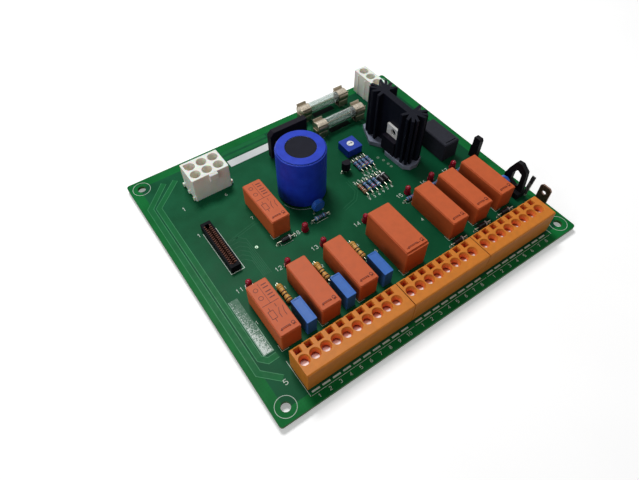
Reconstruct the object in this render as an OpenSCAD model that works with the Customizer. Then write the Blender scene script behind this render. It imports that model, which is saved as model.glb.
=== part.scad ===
// Relay output module: a through-hole circuit board with three rows of clamp
// terminals, eight relays, a small power supply and its connectors.
// Component places are measured from the board's front left corner, in the
// plane of the board. The origin is the centre of the mounting-hole pattern,
// on the solder side. The terminal edge faces -Y.

/* [Board] */
// Width of the board along the terminal edge
board_w = 171; // [169:0.5:178]
// Depth of the board
board_d = 150; // [148:0.5:158]
// Thickness of the laminate
board_t = 1.6; // [1.2:0.1:2.4]
// Radius of the board's corners
board_corner_r = 1.5; // [0.5:0.1:3]
// Diameter of the four mounting holes
mount_hole_d = 4.2; // [3.2:0.1:4.5]
// Distance of each mounting hole from both edges
mount_inset = 6; // [5:0.1:6.5]
// Length of the leads below the board
lead_stub = 1.6; // [1.2:0.1:2.5]

/* [Terminal blocks] */
// Spacing of the terminals
pole_pitch = 5.08; // [5.0:0.01:5.12]
// Thickness of a block's left wall
end_wall = 0.75; // [0.6:0.05:1.2]
// Thickness of the end plate on a block's right
end_plate = 2.55; // [1.5:0.05:3.2]
// Gap between neighbouring blocks
block_gap = 0.4; // [0.1:0.05:0.6]
// Depth of a terminal block, front to back
block_d = 13; // [12.8:0.1:14]
// Height of a terminal block
block_h = 13.6; // [13:0.1:17]
// Bore of the wire entries
wire_bore = 3.4; // [2.8:0.1:3.6]
// Mouth of the wire entries at the top face
wire_mouth = 4.8; // [4.2:0.1:4.8]
// Distance of the wire entries from the block's front face
wire_row = 6.4; // [6:0.1:6.5]
// Left end of the first block
block_x = 16.65; // [15:0.05:17]
// Front face of the blocks
block_y = 6.3; // [5.5:0.1:6.5]

/* [Relays] */
// Width of a small relay
relay_w = 9.8; // [9:0.1:10.2]
// Length of a small relay
relay_l = 28.1; // [27:0.1:28.6]
// Height of a small relay
relay_h = 11.7; // [10.5:0.1:13]
// Width of the power relay
power_relay_w = 12.5; // [12:0.1:13]
// Length of the power relay
power_relay_l = 28.6; // [28:0.1:29]
// Height of the power relay
power_relay_h = 15.3; // [14:0.1:17]
// Wall of the relay covers
cover_wall = 0.8; // [0.6:0.1:1.0]

/* [Power supply] */
// Diameter of the reservoir capacitor
capacitor_d = 25; // [22:0.5:25.5]
// Height of the reservoir capacitor
capacitor_h = 30; // [25:0.5:35]
// Height of the heatsink extrusion
heatsink_h = 29; // [25:0.5:35]
// Thickness of the heatsink fins
fin_t = 1.0; // [0.8:0.1:1.3]
// Thickness of the insulating base below the heatsink
heatsink_base_t = 2.6; // [1.5:0.1:3]
// Diameter of the fuse caps
fuse_d = 6.35; // [6.2:0.05:6.4]
// Length of the fuses over their caps
fuse_l = 32; // [31:0.5:33]
// Height of the bridge rectifier's body
bridge_h = 17; // [15:0.5:19]

/* [Connectors] */
// Spacing of the power header's contacts
header_pitch = 6.35; // [6.2:0.05:6.4]
// Height of the power header
header_h = 14.2; // [13:0.1:16]
// Bore of the header's sockets
socket_d = 5.3; // [5:0.1:5.4]
// Spacing of the ribbon socket's contacts
ribbon_pitch = 1.27; // [1.25:0.01:1.28]
// Contact pairs in the ribbon socket
ribbon_pairs = 20; // [10:1:20]
// Width of the push-on earth tab
tab_w = 6.3; // [4.8:0.1:6.3]
// Height of the earth tab above the board
tab_h = 13.3; // [11:0.1:15]

/* [Trimmer] */
// Side of the square trimmer body
trimmer_w = 9.5; // [9:0.1:10]
// Height of the trimmer body
trimmer_h = 4.9; // [4.5:0.1:6]
// Diameter of the turning rotor
rotor_d = 3.9; // [3.2:0.1:4.4]
// Clearance all round the rotor
rotor_gap = 0.05; // [0.03:0.01:0.08]

/* [Hidden] */
$fn = 36;
eps = 0.01;

// Places are in percent of the board's width and depth, from its near left corner
function share(p) = [p[0] * board_w, p[1] * board_d] / 100;
function shares(list) = [for (p = list) share(p)];

// Holes and the leads that pass through them
fit_gap = 0.15;
heavy_lead_d = 1.2;
relay_lead_d = 0.9;
light_lead_d = 0.6;
fine_lead_d = 0.4;

// Terminal blocks: poles of the first two, the last fills the row
POLES = [10, 8];
row_margin = 13;
pole_wall = 1.0;
function block_w(n) = n * pole_pitch - pole_wall + end_wall + end_plate;
function block_left(i) = i == 0 ? block_x : block_left(i - 1) + block_w(POLES[i - 1]) + block_gap;
last_poles = floor((board_w - row_margin - block_left(2) - block_w(0)) / pole_pitch);
function poles(i) = i < len(POLES) ? POLES[i] : last_poles;
function pole_x(i, k) = block_left(i) + first_pole + k * pole_pitch;
cavity_w = pole_pitch - pole_wall;
first_pole = end_wall + cavity_w / 2;
driver_row = wire_row + 4.65;
driver_w = 3.1;
driver_d = 2.7;
cavity_front = wire_row - wire_bore / 2 - 1.0;
cavity_back = block_d - 0.8;
cavity_h = block_h - 2.8;
strip_t = 0.5;
strip_w = cavity_w - 0.6;
contact_pin_y = block_y + driver_row;

// Relays: [centre x, centre y] of the seven small ones, then the power relay
RELAY_AT = shares([[13.1, 27], [24.91, 27.07], [36.55, 27.2], [69.47, 28.73],
    [78.83, 28.8], [88.13, 28.87], [29.3, 61.2]]);
POWER_RELAY_AT = share([52.16, 27.27]);
base_t = 1.8;
relay_row = relay_w / 2 - cover_wall - relay_lead_d / 2 - 0.1;
RELAY_PIN_Y = [-0.4, 0.18, 0.36];
SIGNAL_RELAY_AT = share([89.24, 53.67]);
signal_relay_size = [10, 20.3, 11.4];

// Connectors
HEADER_AT = share([20.96, 84.67]);
header_wall = 0.65;
header_w = 3 * header_pitch + 2 * header_wall;
header_d = 2 * header_pitch + 2 * header_wall;
SIDE_HEADER_AT = share([87.89, 91.73]);
side_header_w = header_pitch + 2 * 0.85;
RIBBON_AT = share([12.63, 57.93]);
ribbon_l = ribbon_pairs * ribbon_pitch + 5.4;
ribbon_w = 5.2;
ribbon_h = 4;

// Power supply
CAPACITOR_AT = share([43.22, 64.2]);
sleeve_t = 0.3;
disc_d = capacitor_d - 9.6;
disc_t = 0.6;
capacitor_stand = 0.6;
BRIDGE_AT = share([49.12, 83.33]);
bridge_size = [22.6, 3.5, bridge_h];
bridge_stand = 1.5;
FUSES_AT = shares([[69.77, 84], [69.77, 94.93]]);
fuse_axis_z = fuse_d / 2 + 3;
fuse_cap_l = 6.2;
clip_l = 6;
clip_t = 0.5;
TRIMMER_AT = share([65.61, 70.73]);
rotor_depth = 2.6;
HEATSINK_AT = share([77.78, 63.87]);
HUBS = [[0.3, 10], [-0.3, -12]];
hub_r = 2.1;
FIN_ANGLES = [-106, -66, -40, -20, 20, 40, 66, 106];
web_t = 3.6;
web_x = -0.9;
REGULATOR_Y = -4.1;
regulator_w = 10;
regulator_z = heatsink_base_t + 0.05;
regulator_body_h = 8.9;
regulator_tab_h = 15.1;
regulator_tab_t = 1.3;
regulator_d = 4.2;
TRANSISTOR_AT = share([58.83, 62.93]);

// Small parts: axial ones give [x, y] of the centre
FILM_AT = shares([[18.98, 21.8], [30.88, 21.93], [42.81, 21.93]]);
film_size = [4.8, 12.8, 9.8];
film_lead_span = 10.16;
LED_AT = shares([[12.81, 40.67], [24.8, 40.67], [36.67, 40.87], [51.46, 40.87], [68.6, 42.47],
    [78.13, 42.67], [87.13, 42.53], [35.38, 49.07]]);
led_d = 3;
led_h = 5.2;
DISC_AT = [concat(share([42.4, 53.2]), 0), concat(share([93.57, 25.67]), 90)];
disc_cap_d = 6.8;
disc_cap_t = 2.6;
LOAD_AT = shares([[18.95, 32.2], [30.82, 32.27], [42.81, 32.4]]);
load_span = 12.7;
load_l = 10;
load_d = 3;
small_span = 10.16;
small_l = 6.4;
small_d = 2.3;
bank_pitch = [2.6, 3];
BANK_REAR = [for (i = [0:3]) share([62.92, 62.13]) + [bank_pitch[0] * i, 0]];
BANK_FRONT = [for (i = [0:5]) share([58.13, 52.27]) + [bank_pitch[1] * i, 0]];
SMALL_ALONG_Y = concat(BANK_REAR, [for (i = [0:3]) BANK_FRONT[i]]);
SMALL_ALONG_X = shares([[41.46, 50.27], [68.19, 39.73], [77.66, 39.87], [87.02, 39.87]]);
DIODES_ALONG_Y = [BANK_FRONT[4], BANK_FRONT[5]];
DIODES_ALONG_X = shares([[29.01, 48.93], [68.19, 17.07], [77.54, 17.2], [86.9, 17.2]]);
diode_l = 5.2;
diode_d = 2.6;
EARTH_TAB_AT = share([97.37, 13.2]);
tab_t = 0.8;
CLIP_AT = share([95.44, 23.2]);
clip_w = 2.4;
POST_AT = share([96.49, 42.67]);
EDGE_PIN_AT = share([97.43, 19.07]);
LABEL_AT = share([30.41, 87.87]);

// Lead places, as lists of [x, y]
function span_x(c, s) = [c + [-s / 2, 0], c + [s / 2, 0]];
function span_y(c, s) = [c + [0, -s / 2], c + [0, s / 2]];
function flat(lists) = [for (l = lists) for (p = l) p];
function relay_leads(c, w, l) = [for (f = RELAY_PIN_Y) for (s = [-1, 1]) c + [s * w, f * l]];
terminal_leads = flat([for (i = [0:2]) [for (k = [0:poles(i) - 1]) [pole_x(i, k), contact_pin_y]]]);
header_leads = [for (i = [-1:1]) for (j = [-0.5, 0.5]) HEADER_AT + [i, j] * header_pitch];
side_header_leads = [for (i = [-1:1]) SIDE_HEADER_AT + [0, i] * header_pitch];
capacitor_leads = span_x(CAPACITOR_AT, 10);
bridge_lead_places = [for (i = [-1.5:1.5]) BRIDGE_AT + [i * 5.08, 0]];
clip_places = flat([for (f = FUSES_AT) [for (s = [-1, 1]) f + [s * (fuse_l - fuse_cap_l) / 2, 0]]]);
clip_leads = flat([for (c = clip_places) span_y(c, 5.08)]);
heavy_leads = concat(terminal_leads, header_leads, side_header_leads, capacitor_leads,
    bridge_lead_places, clip_leads, span_y(EARTH_TAB_AT, 4), [EDGE_PIN_AT]);
small_relay_leads = flat([for (c = RELAY_AT) relay_leads(c, relay_row, relay_l)]);
power_relay_leads = relay_leads(POWER_RELAY_AT, relay_row, power_relay_l);
signal_relay_leads = [for (s = [-1, 1]) for (i = [-3, -1, 1, 3])
    SIGNAL_RELAY_AT + [s * 3.81, i * 2.54]];
relay_lead_places = concat(small_relay_leads, power_relay_leads);
trimmer_leads = [for (p = [[-2.54, 2.54], [0, -2.54], [2.54, 2.54]]) TRIMMER_AT + p];
transistor_leads = [for (i = [-1:1]) TRANSISTOR_AT + [i * 2.54, 0]];
regulator_back = web_x - web_t / 2;
regulator_hole_z = regulator_z + regulator_tab_h - 3.1;
regulator_lead_x = regulator_back - 1.8;
regulator_leads = [for (i = [-1:1]) HEATSINK_AT + [regulator_lead_x, REGULATOR_Y + i * 2.54]];
film_leads = flat([for (c = FILM_AT) span_y(c, film_lead_span)]);
led_leads = flat([for (c = LED_AT) span_x(c, 2.54)]);
function disc_span(d) = let (c = [d[0], d[1]]) d[2] == 0 ? span_x(c, 5.08) : span_y(c, 5.08);
disc_leads = flat([for (d = DISC_AT) disc_span(d)]);
load_leads = flat([for (c = LOAD_AT) span_y(c, load_span)]);
small_y_leads = flat([for (c = concat(SMALL_ALONG_Y, DIODES_ALONG_Y)) span_y(c, small_span)]);
small_x_leads = flat([for (c = concat(SMALL_ALONG_X, DIODES_ALONG_X)) span_x(c, small_span)]);
light_leads = concat(signal_relay_leads, trimmer_leads, transistor_leads, regulator_leads,
    film_leads, led_leads, disc_leads, load_leads, small_y_leads, small_x_leads);
ribbon_leads = [for (i = [0:ribbon_pairs - 1]) for (s = [-1, 1])
    RIBBON_AT + [s * 1.3, (i - (ribbon_pairs - 1) / 2) * ribbon_pitch]];
MOUNT_HOLES = [for (x = [mount_inset, board_w - mount_inset])
    for (y = [mount_inset, board_d - mount_inset]) [x, y]];

// ---- Shared shapes ----

// Places children on the board's top face, at a place measured from its front left corner
module at(p, z = 0) {
    translate([p[0] - board_w / 2, p[1] - board_d / 2, board_t + z]) children();
}

// A flat outline with rounded corners, centred
module rounded_outline(size, r) {
    square([size[0] - 2 * r, size[1]], center = true);
    square([size[0], size[1] - 2 * r], center = true);
    for (x = [-1, 1])
        for (y = [-1, 1])
            translate([x * (size[0] / 2 - r), y * (size[1] / 2 - r)]) circle(r);
}

module rounded_block(size, r) {
    linear_extrude(size[2]) rounded_outline(size, r);
}

// Round leads from a height above the board down through it
module leads(places, d, top) {
    for (p = places)
        at(p, -board_t - lead_stub) cylinder(d = d, h = board_t + lead_stub + top);
}

// A folded strip: the outline of a path of straight legs with round bends
module strip_path(points, t) {
    for (i = [0:len(points) - 2]) {
        run = points[i + 1] - points[i];
        translate(points[i]) rotate(atan2(run[1], run[0]))
            translate([0, -t / 2]) square([norm(run), t]);
    }
    for (i = [0:len(points) - 1]) translate(points[i]) circle(d = t, $fn = 24);
}

// Turns an outline drawn in (Y, Z) into a solid of width w, centred on X = 0
module across(w) {
    rotate([90, 0, 90]) translate([0, 0, -w / 2]) linear_extrude(w) children();
}

// ---- Board ----

module holes(places, d) {
    for (p = places) translate(p) circle(d = d + fit_gap, $fn = 24);
}

module circuit_board() {
    color([0.07, 0.36, 0.2])
        translate([-board_w / 2, -board_d / 2, 0]) linear_extrude(board_t) difference() {
            translate([board_w, board_d] / 2) rounded_outline([board_w, board_d], board_corner_r);
            for (p = MOUNT_HOLES) translate(p) circle(d = mount_hole_d);
            holes(heavy_leads, heavy_lead_d);
            holes(relay_lead_places, relay_lead_d);
            holes(light_leads, light_lead_d);
            holes(ribbon_leads, fine_lead_d);
            holes([CLIP_AT, POST_AT], 2.5);
        }
}

// Solder cones round the leads on the underside
module solder_rings(places, lead_d, pad_d) {
    for (p = places)
        at(p, -board_t) mirror([0, 0, 1]) difference() {
            union() {
                cylinder(d = pad_d, h = 0.15);
                translate([0, 0, 0.15]) cylinder(d1 = pad_d - 0.3, d2 = lead_d + 0.25, h = 0.85);
            }
            translate([0, 0, -1]) cylinder(d = lead_d + 0.04, h = 3);
        }
}

module solder_joints() {
    color([0.75, 0.76, 0.78]) {
        solder_rings(heavy_leads, heavy_lead_d, 2.6);
        solder_rings(relay_lead_places, relay_lead_d, 2.2);
        solder_rings(light_leads, light_lead_d, 1.7);
        solder_rings(ribbon_leads, fine_lead_d, 0.95);
    }
}

module label_strip() {
    color([0.95, 0.95, 0.93]) at(LABEL_AT) cube([28, 5, 0.15]);
}

// ---- Terminal blocks ----

// A rectangular well whose four sides flare out at the mouth
module flared_well(w, d, depth, flare) {
    intersection() {
        rotate([90, 0, 0]) translate([0, 0, -d]) linear_extrude(2 * d) well_outline(w, depth, flare);
        rotate([90, 0, 90]) translate([0, 0, -w]) linear_extrude(2 * w) well_outline(d, depth, flare);
    }
}

module well_outline(w, depth, flare) {
    polygon([[-w / 2, -depth], [w / 2, -depth], [w / 2, -2 * flare], [w / 2 + flare, eps],
        [-w / 2 - flare, eps], [-w / 2, -2 * flare]]);
}

module block_outline() {
    chamfer = 0.5;
    foot = 0.5;
    polygon([[0, foot], [foot, 0], [block_d - foot, 0], [block_d, foot],
        [block_d, block_h - chamfer], [block_d - chamfer, block_h],
        [chamfer, block_h], [0, block_h - chamfer]]);
}

// One pole's wire entry, driver slot and clamp chamber
module pole_cut() {
    translate([0, wire_row, 0]) {
        translate([0, 0, cavity_h - 1]) cylinder(d = wire_bore, h = block_h);
        translate([0, 0, block_h - 2.2]) cylinder(d1 = wire_bore, d2 = wire_mouth, h = 2.2 + eps);
    }
    translate([0, driver_row, block_h])
        flared_well(driver_w - 0.4, driver_d - 0.4, block_h - cavity_h + 1, 0.25);
    translate([-cavity_w / 2, cavity_front, -1]) cube([cavity_w, cavity_back - cavity_front, cavity_h + 1]);
}

// Shallow ribs on the back show where one pole ends and the next begins
module pole_groove() {
    translate([-0.3, block_d - 0.3, 1.5]) cube([0.6, 1, block_h]);
}

module terminal_block(i) {
    n = poles(i);
    color([0.86, 0.45, 0.16]) at([block_left(i), block_y]) difference() {
        translate([block_w(n) / 2, 0, 0]) across(block_w(n)) block_outline();
        for (k = [0:n - 1]) translate([first_pole + k * pole_pitch, 0, 0]) pole_cut();
        for (k = [1:n - 1]) translate([first_pole + (k - 0.5) * pole_pitch, 0, 0]) pole_groove();
    }
}

// Tinned bus piece: an upright plate with a shelf under the wire entry, and a solder pin
module terminal_contact() {
    across(strip_w) {
        translate([driver_row - 0.4, 0.2]) square([0.8, cavity_h - 3]);
        translate([cavity_front + 0.5, 0.2]) square([driver_row - cavity_front - 0.5, 0.8]);
        translate([cavity_front + 0.2, 0.2]) square([0.8, cavity_h - 1.2]);
    }
    translate([0, driver_row, -board_t - lead_stub])
        cylinder(d = heavy_lead_d, h = board_t + lead_stub + 1);
}

// Spring: a folded strip whose flat top closes the wire entry, and whose tail presses on the bus piece
module terminal_spring() {
    front = cavity_front + 1.6;
    top = cavity_h - strip_t;
    across(strip_w) strip_path([[front, 1.5], [front, top], [wire_row + 1.5, top],
        [driver_row - 1.2, top - 3.5], [driver_row - 0.8, 4], [driver_row - 2.2, 2.4]], strip_t);
}

module terminal_contacts(i) {
    color([0.82, 0.82, 0.8])
        for (k = [0:poles(i) - 1]) at([pole_x(i, k), block_y]) terminal_contact();
}

module terminal_springs(i) {
    color([0.7, 0.71, 0.72])
        for (k = [0:poles(i) - 1]) at([pole_x(i, k), block_y]) terminal_spring();
}

// ---- Relays ----

// Sealed cover: a shell open at the bottom, with the mark that shows the coil end
module relay_cover(p, w, l, h) {
    color([0.85, 0.33, 0.18]) at(p) difference() {
        union() {
            rounded_block([w, l, h - 0.5], 0.7);
            translate([0, 0, h - 0.5]) rounded_block([w - 0.6, l - 0.6, 0.5], 0.6);
        }
        translate([0, 0, -eps])
            rounded_block([w - 2 * cover_wall, l - 2 * cover_wall, h - 1.1], 0.4);
        translate([-w / 2 + 1.6, -l / 2 + 2.2, h - 0.3]) cube([w - 5, 0.5, 1]);
        translate([w / 2 - 1.75, -l / 2 + 2, h - 0.3]) cylinder(d = 1.5, h = 1);
    }
}

module power_relay_cover() {
    edge = 1;
    difference() {
        relay_cover(POWER_RELAY_AT, power_relay_w, power_relay_l, power_relay_h);
        color([0.85, 0.33, 0.18]) at(POWER_RELAY_AT)
            translate([-power_relay_w, -power_relay_l / 2 - edge, power_relay_h - edge])
            cube([2 * power_relay_w, 2 * edge, 2 * edge]);
    }
}

module relay_base(p, w, l) {
    inner = [w - 2 * cover_wall - 0.1, l - 2 * cover_wall - 0.1, base_t];
    at(p, 0.2) difference() {
        rounded_block(inner, 0.35);
        for (q = relay_leads([0, 0], relay_row, l))
            translate([q[0], q[1], -1]) cylinder(d = relay_lead_d + 0.04, h = 5, $fn = 24);
    }
}

module relay_bases() {
    color([0.16, 0.16, 0.17]) {
        for (p = RELAY_AT) relay_base(p, relay_w, relay_l);
        relay_base(POWER_RELAY_AT, power_relay_w, power_relay_l);
    }
}

module relay_pins() {
    color([0.78, 0.78, 0.76]) leads(relay_lead_places, relay_lead_d, base_t + 2);
}

module signal_relay() {
    s = signal_relay_size;
    color([0.07, 0.07, 0.08]) at(SIGNAL_RELAY_AT, 0.3) difference() {
        union() {
            rounded_block([s[0], s[1], s[2] - 0.6], 0.3);
            rounded_block([s[0] - 0.8, s[1] - 0.8, s[2] - 0.3], 0.3);
        }
        translate([0, -s[1] / 2 + 1.6, s[2] - 0.6]) cube([s[0] - 3, 0.6, 1], center = true);
    }
}

module signal_relay_pins() {
    color([0.78, 0.78, 0.76]) leads(signal_relay_leads, light_lead_d, 0.3);
}

// ---- Connectors ----

module header_sockets(places, floor_h) {
    for (p = places) translate([p[0], p[1], floor_h]) cylinder(d = socket_d, h = header_h);
}

module pin_bores(places) {
    for (p = places) translate([p[0], p[1], -1]) cylinder(d = heavy_lead_d + 0.9 + 0.04, h = header_h);
}

// Six-way power header with its latch ramp, one squared socket and side feet
module power_header() {
    socket_floor = 2.2;
    latch_w = 4.5;
    latch_drop = 5.4;
    places = [for (p = header_leads) p - HEADER_AT];
    color([0.9, 0.88, 0.83]) at(HEADER_AT) difference() {
        union() {
            rounded_block([header_w, header_d, header_h], 0.5);
            translate([1.3, -header_d / 2, header_h - latch_drop]) across(latch_w)
                polygon([[0.2, 0], [-1.3, 1.4], [-1.3, latch_drop - 0.6], [0.2, latch_drop]]);
            for (x = [-1, 1])
                for (y = [-0.42, 0, 0.42])
                    translate([x * header_w / 2, y * header_d, 1.7]) cube([2, 1.3, 2], center = true);
        }
        header_sockets(places, socket_floor);
        pin_bores(places);
        translate([-header_pitch - socket_d / 2, header_pitch / 2, socket_floor])
            cube([socket_d / 2, socket_d / 2, header_h]);
    }
}

module side_header() {
    places = [for (p = side_header_leads) p - SIDE_HEADER_AT];
    color([0.9, 0.88, 0.83]) at(SIDE_HEADER_AT) difference() {
        union() {
            rounded_block([side_header_w, header_w, header_h], 0.5);
            for (y = [-1, 0, 1])
                translate([-side_header_w / 2, y * header_pitch, header_h / 2 - 0.8])
                    cube([0.6, 1.2, header_h - 1.6], center = true);
        }
        header_sockets(places, 2.2);
        pin_bores(places);
    }
}

module header_pins() {
    contact_d = heavy_lead_d + 0.9;
    color([0.83, 0.8, 0.7]) {
        leads(concat(header_leads, side_header_leads), heavy_lead_d, 1);
        for (p = concat(header_leads, side_header_leads)) at(p, 0.3) {
            cylinder(d = contact_d, h = 8);
            translate([0, 0, 8]) cylinder(d1 = contact_d, d2 = 1.1, h = 1.2);
        }
    }
}

// Board-to-cable socket: a low wall round a slot with slits for the contact pairs
module ribbon_socket() {
    slot_w = 2;
    color([0.06, 0.06, 0.07]) at(RIBBON_AT) difference() {
        rounded_block([ribbon_w, ribbon_l, ribbon_h], 0.4);
        translate([-slot_w / 2, -ribbon_l / 2 + 1.6, 1.2]) cube([slot_w, ribbon_l - 3.2, ribbon_h]);
        for (i = [0:ribbon_pairs - 1])
            translate([0, (i - (ribbon_pairs - 1) / 2) * ribbon_pitch, ribbon_h / 2])
                cube([ribbon_w - 1.4, 0.66, ribbon_h + 1], center = true);
    }
}

// Bronze contacts: each stands in its slit and bends over the edge of the slot
module ribbon_contacts() {
    contact_w = 0.5;
    color([0.65, 0.42, 0.28]) {
        leads(ribbon_leads, fine_lead_d, 1);
        for (i = [0:ribbon_pairs - 1])
            for (s = [0, 1])
                at(RIBBON_AT + [0, (i - (ribbon_pairs - 1) / 2) * ribbon_pitch], 0) mirror([s, 0, 0])
                    rotate([90, 0, 0]) translate([0, 0, -contact_w / 2]) linear_extrude(contact_w)
                    strip_path([[1.3, 0.8], [1.55, 3.3], [0.75, 2.9], [0.55, 1.9]], 0.3);
    }
}

module earth_tab() {
    tip = 1.2;
    hole_z = tab_h - 4.2;
    color([0.42, 0.39, 0.36]) {
        at(EARTH_TAB_AT) across(tab_t) difference() {
            polygon([[-tab_w / 2, 0.3], [tab_w / 2, 0.3], [tab_w / 2, tab_h - tip],
                [tab_w / 2 - tip, tab_h], [-tab_w / 2 + tip, tab_h], [-tab_w / 2, tab_h - tip]]);
            translate([0, hole_z]) circle(d = 2.2);
        }
        leads(span_y(EARTH_TAB_AT, 4), tab_t, 0.5);
    }
}

// ---- Power supply ----

module capacitor_can() {
    r = capacitor_d / 2 - sleeve_t;
    color([0.7, 0.7, 0.72]) at(CAPACITOR_AT, capacitor_stand)
        rotate_extrude() polygon([[0, 0.4], [r - 1.5, 0.4], [r - 0.8, 0], [r - 0.3, 0], [r, 0.4],
            [r, 2.6], [r - 0.5, 3], [r, 3.4], [r, capacitor_h - 1.6], [r - 0.6, capacitor_h - 1],
            [disc_d / 2, capacitor_h - 1], [disc_d / 2, capacitor_h - 1 - disc_t],
            [0, capacitor_h - 1 - disc_t]]);
}

// Shrunk sleeve: open below, and drawn in over the rim at the top
module capacitor_sleeve() {
    r = capacitor_d / 2;
    top = capacitor_h - capacitor_stand;
    color([0.13, 0.2, 0.72]) at(CAPACITOR_AT, capacitor_stand) rotate_extrude() {
        translate([r - sleeve_t, 0.5]) square([sleeve_t, top - 2.1]);
        polygon([[r - sleeve_t, capacitor_h - 2.2], [r, capacitor_h - 2.2], [r, capacitor_h - 1.7],
            [r - 0.7, capacitor_h - 1 + sleeve_t], [disc_d / 2, capacitor_h - 1 + sleeve_t],
            [disc_d / 2, capacitor_h - 1], [r - 0.6, capacitor_h - 1],
            [r - sleeve_t, capacitor_h - 1.6 + sleeve_t]]);
    }
}

module capacitor_disc() {
    color([0.17, 0.16, 0.17]) at(CAPACITOR_AT, capacitor_stand + capacitor_h - 1 - disc_t)
        cylinder(d = disc_d - 0.1, h = disc_t);
}

module capacitor_pins() {
    color([0.78, 0.78, 0.76]) leads(capacitor_leads, heavy_lead_d, capacitor_stand + 0.4);
}

module bridge_rectifier() {
    s = bridge_size;
    cut = 2.2;
    color([0.09, 0.08, 0.1]) at(BRIDGE_AT, bridge_stand) rotate([90, 0, 0])
        translate([0, 0, -s[1] / 2]) linear_extrude(s[1]) difference() {
            polygon([[-s[0] / 2, 0], [s[0] / 2, 0], [s[0] / 2, s[2]], [-s[0] / 2 + cut, s[2]],
                [-s[0] / 2, s[2] - cut]]);
            translate([0, s[2] * 0.55]) circle(d = 3.4);
        }
}

module bridge_leads() {
    color([0.78, 0.78, 0.76]) leads(bridge_lead_places, heavy_lead_d, bridge_stand);
}

// Fuse clip: a base, two springy cheeks that hug the cap, flared lips and solder legs
module clip_outline() {
    r = fuse_d / 2 + 0.03;
    lip = 1.1;
    lip_angle = 35;
    grip = (r + clip_t / 2) * [cos(lip_angle), sin(lip_angle)];
    translate([0, fuse_axis_z]) difference() {
        circle(r + clip_t);
        circle(r);
        translate([-2 * r, grip[1]]) square([4 * r, 2 * r]);
        translate([-r * 0.7, -3 * r]) square([1.4 * r, 3 * r]);
    }
    for (s = [0, 1])
        mirror([s, 0]) {
            strip_path([[1, 0.5], [r * 0.95, 0.5], [r * 0.7 + clip_t, fuse_axis_z - r * 0.82]], clip_t);
            translate([0, fuse_axis_z]) strip_path([grip, grip + [0.6, lip]], clip_t);
        }
    translate([-2.54, 0.25]) square([5.08, clip_t]);
}

module fuse_clips() {
    outer = clip_l / 2 + 0.6;
    color([0.72, 0.7, 0.64]) {
        for (c = clip_places) at(c) across(clip_l) clip_outline();
        for (i = [0:len(clip_places) - 1])
            at(clip_places[i] + [(i % 2 == 0 ? -1 : 1) * outer, 0]) {
                translate([0, 0, (fuse_axis_z - 1) / 2 + 0.25])
                    cube([clip_t, 3.6, fuse_axis_z - 1], center = true);
                translate([(i % 2 == 0 ? 1 : -1) * 0.4, 0, 0.25 + clip_t / 2])
                    cube([1.2, 3.6, clip_t], center = true);
            }
        leads(clip_leads, heavy_lead_d, 0.5);
    }
}

// Turns a solid of revolution about Z into one lying along X, centred on a fuse
module along_fuse(p) {
    at(p, fuse_axis_z) rotate([0, 90, 0]) children();
}

glass_r = fuse_d / 2 - 0.22;
module fuse_tubes() {
    color([0.85, 0.9, 0.88, 0.5]) for (f = FUSES_AT) along_fuse(f)
        rotate_extrude() translate([glass_r - 0.6, -fuse_l / 2 + 0.5]) square([0.6, fuse_l - 1]);
}

module fuse_caps() {
    color([0.8, 0.79, 0.75]) for (f = FUSES_AT) along_fuse(f)
        for (s = [0, 1]) mirror([0, 0, s]) translate([0, 0, fuse_l / 2 - fuse_cap_l])
            rotate_extrude() polygon([[glass_r + 0.02, 0], [fuse_d / 2, 0], [fuse_d / 2, fuse_cap_l - 0.3],
                [fuse_d / 2 - 0.3, fuse_cap_l], [0, fuse_cap_l], [0, fuse_cap_l - 0.45],
                [glass_r + 0.02, fuse_cap_l - 0.45]]);
}

module fuse_wires() {
    color([0.75, 0.73, 0.7]) for (f = FUSES_AT) along_fuse(f)
        cylinder(d = 0.35, h = fuse_l - 0.9, center = true, $fn = 16);
}

module trimmer_body() {
    color([0.13, 0.25, 0.75]) at(TRIMMER_AT, 0.3) difference() {
        rounded_block([trimmer_w, trimmer_w, trimmer_h - 0.3], 0.4);
        translate([0, 0, trimmer_h - 0.3 - rotor_depth])
            cylinder(d = rotor_d + 2 * rotor_gap, h = trimmer_h);
    }
}

// Rotor with a driver slot and a pointer notch
module trimmer_rotor() {
    color([0.92, 0.92, 0.9]) at(TRIMMER_AT, trimmer_h - rotor_depth + rotor_gap) difference() {
        cylinder(d = rotor_d, h = rotor_depth + 0.15);
        translate([0, 0, rotor_depth]) cube([rotor_d * 0.72, 0.6, 1.6], center = true);
        translate([rotor_d * 0.2, 0, rotor_depth]) cube([0.6, 1.4, 1.6], center = true);
    }
}

module trimmer_pins() {
    color([0.78, 0.78, 0.76]) leads(trimmer_leads, light_lead_d, 0.3);
}

// Outline that the fins and the base share
module heatsink_outline() {
    polygon([[-3.6, 20.8], [-9.2, 7.9], [-4.1, 0.5], [-7.4, -3.6], [-6.6, -17.6], [-3.6, -20.4],
        [0.8, -20.6], [5.8, -18], [9.4, -7], [6.4, 1], [9.4, 8], [3.8, 20.8]]);
}

module fin_outline() {
    polygon([[-4.4, 18.2], [-6.2, 14.6], [-6.4, -16.4], [-4.4, -18.8], [3.8, -18.8], [6.4, -15.6],
        [6.4, 14.6], [4.4, 18.2]]);
}

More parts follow.
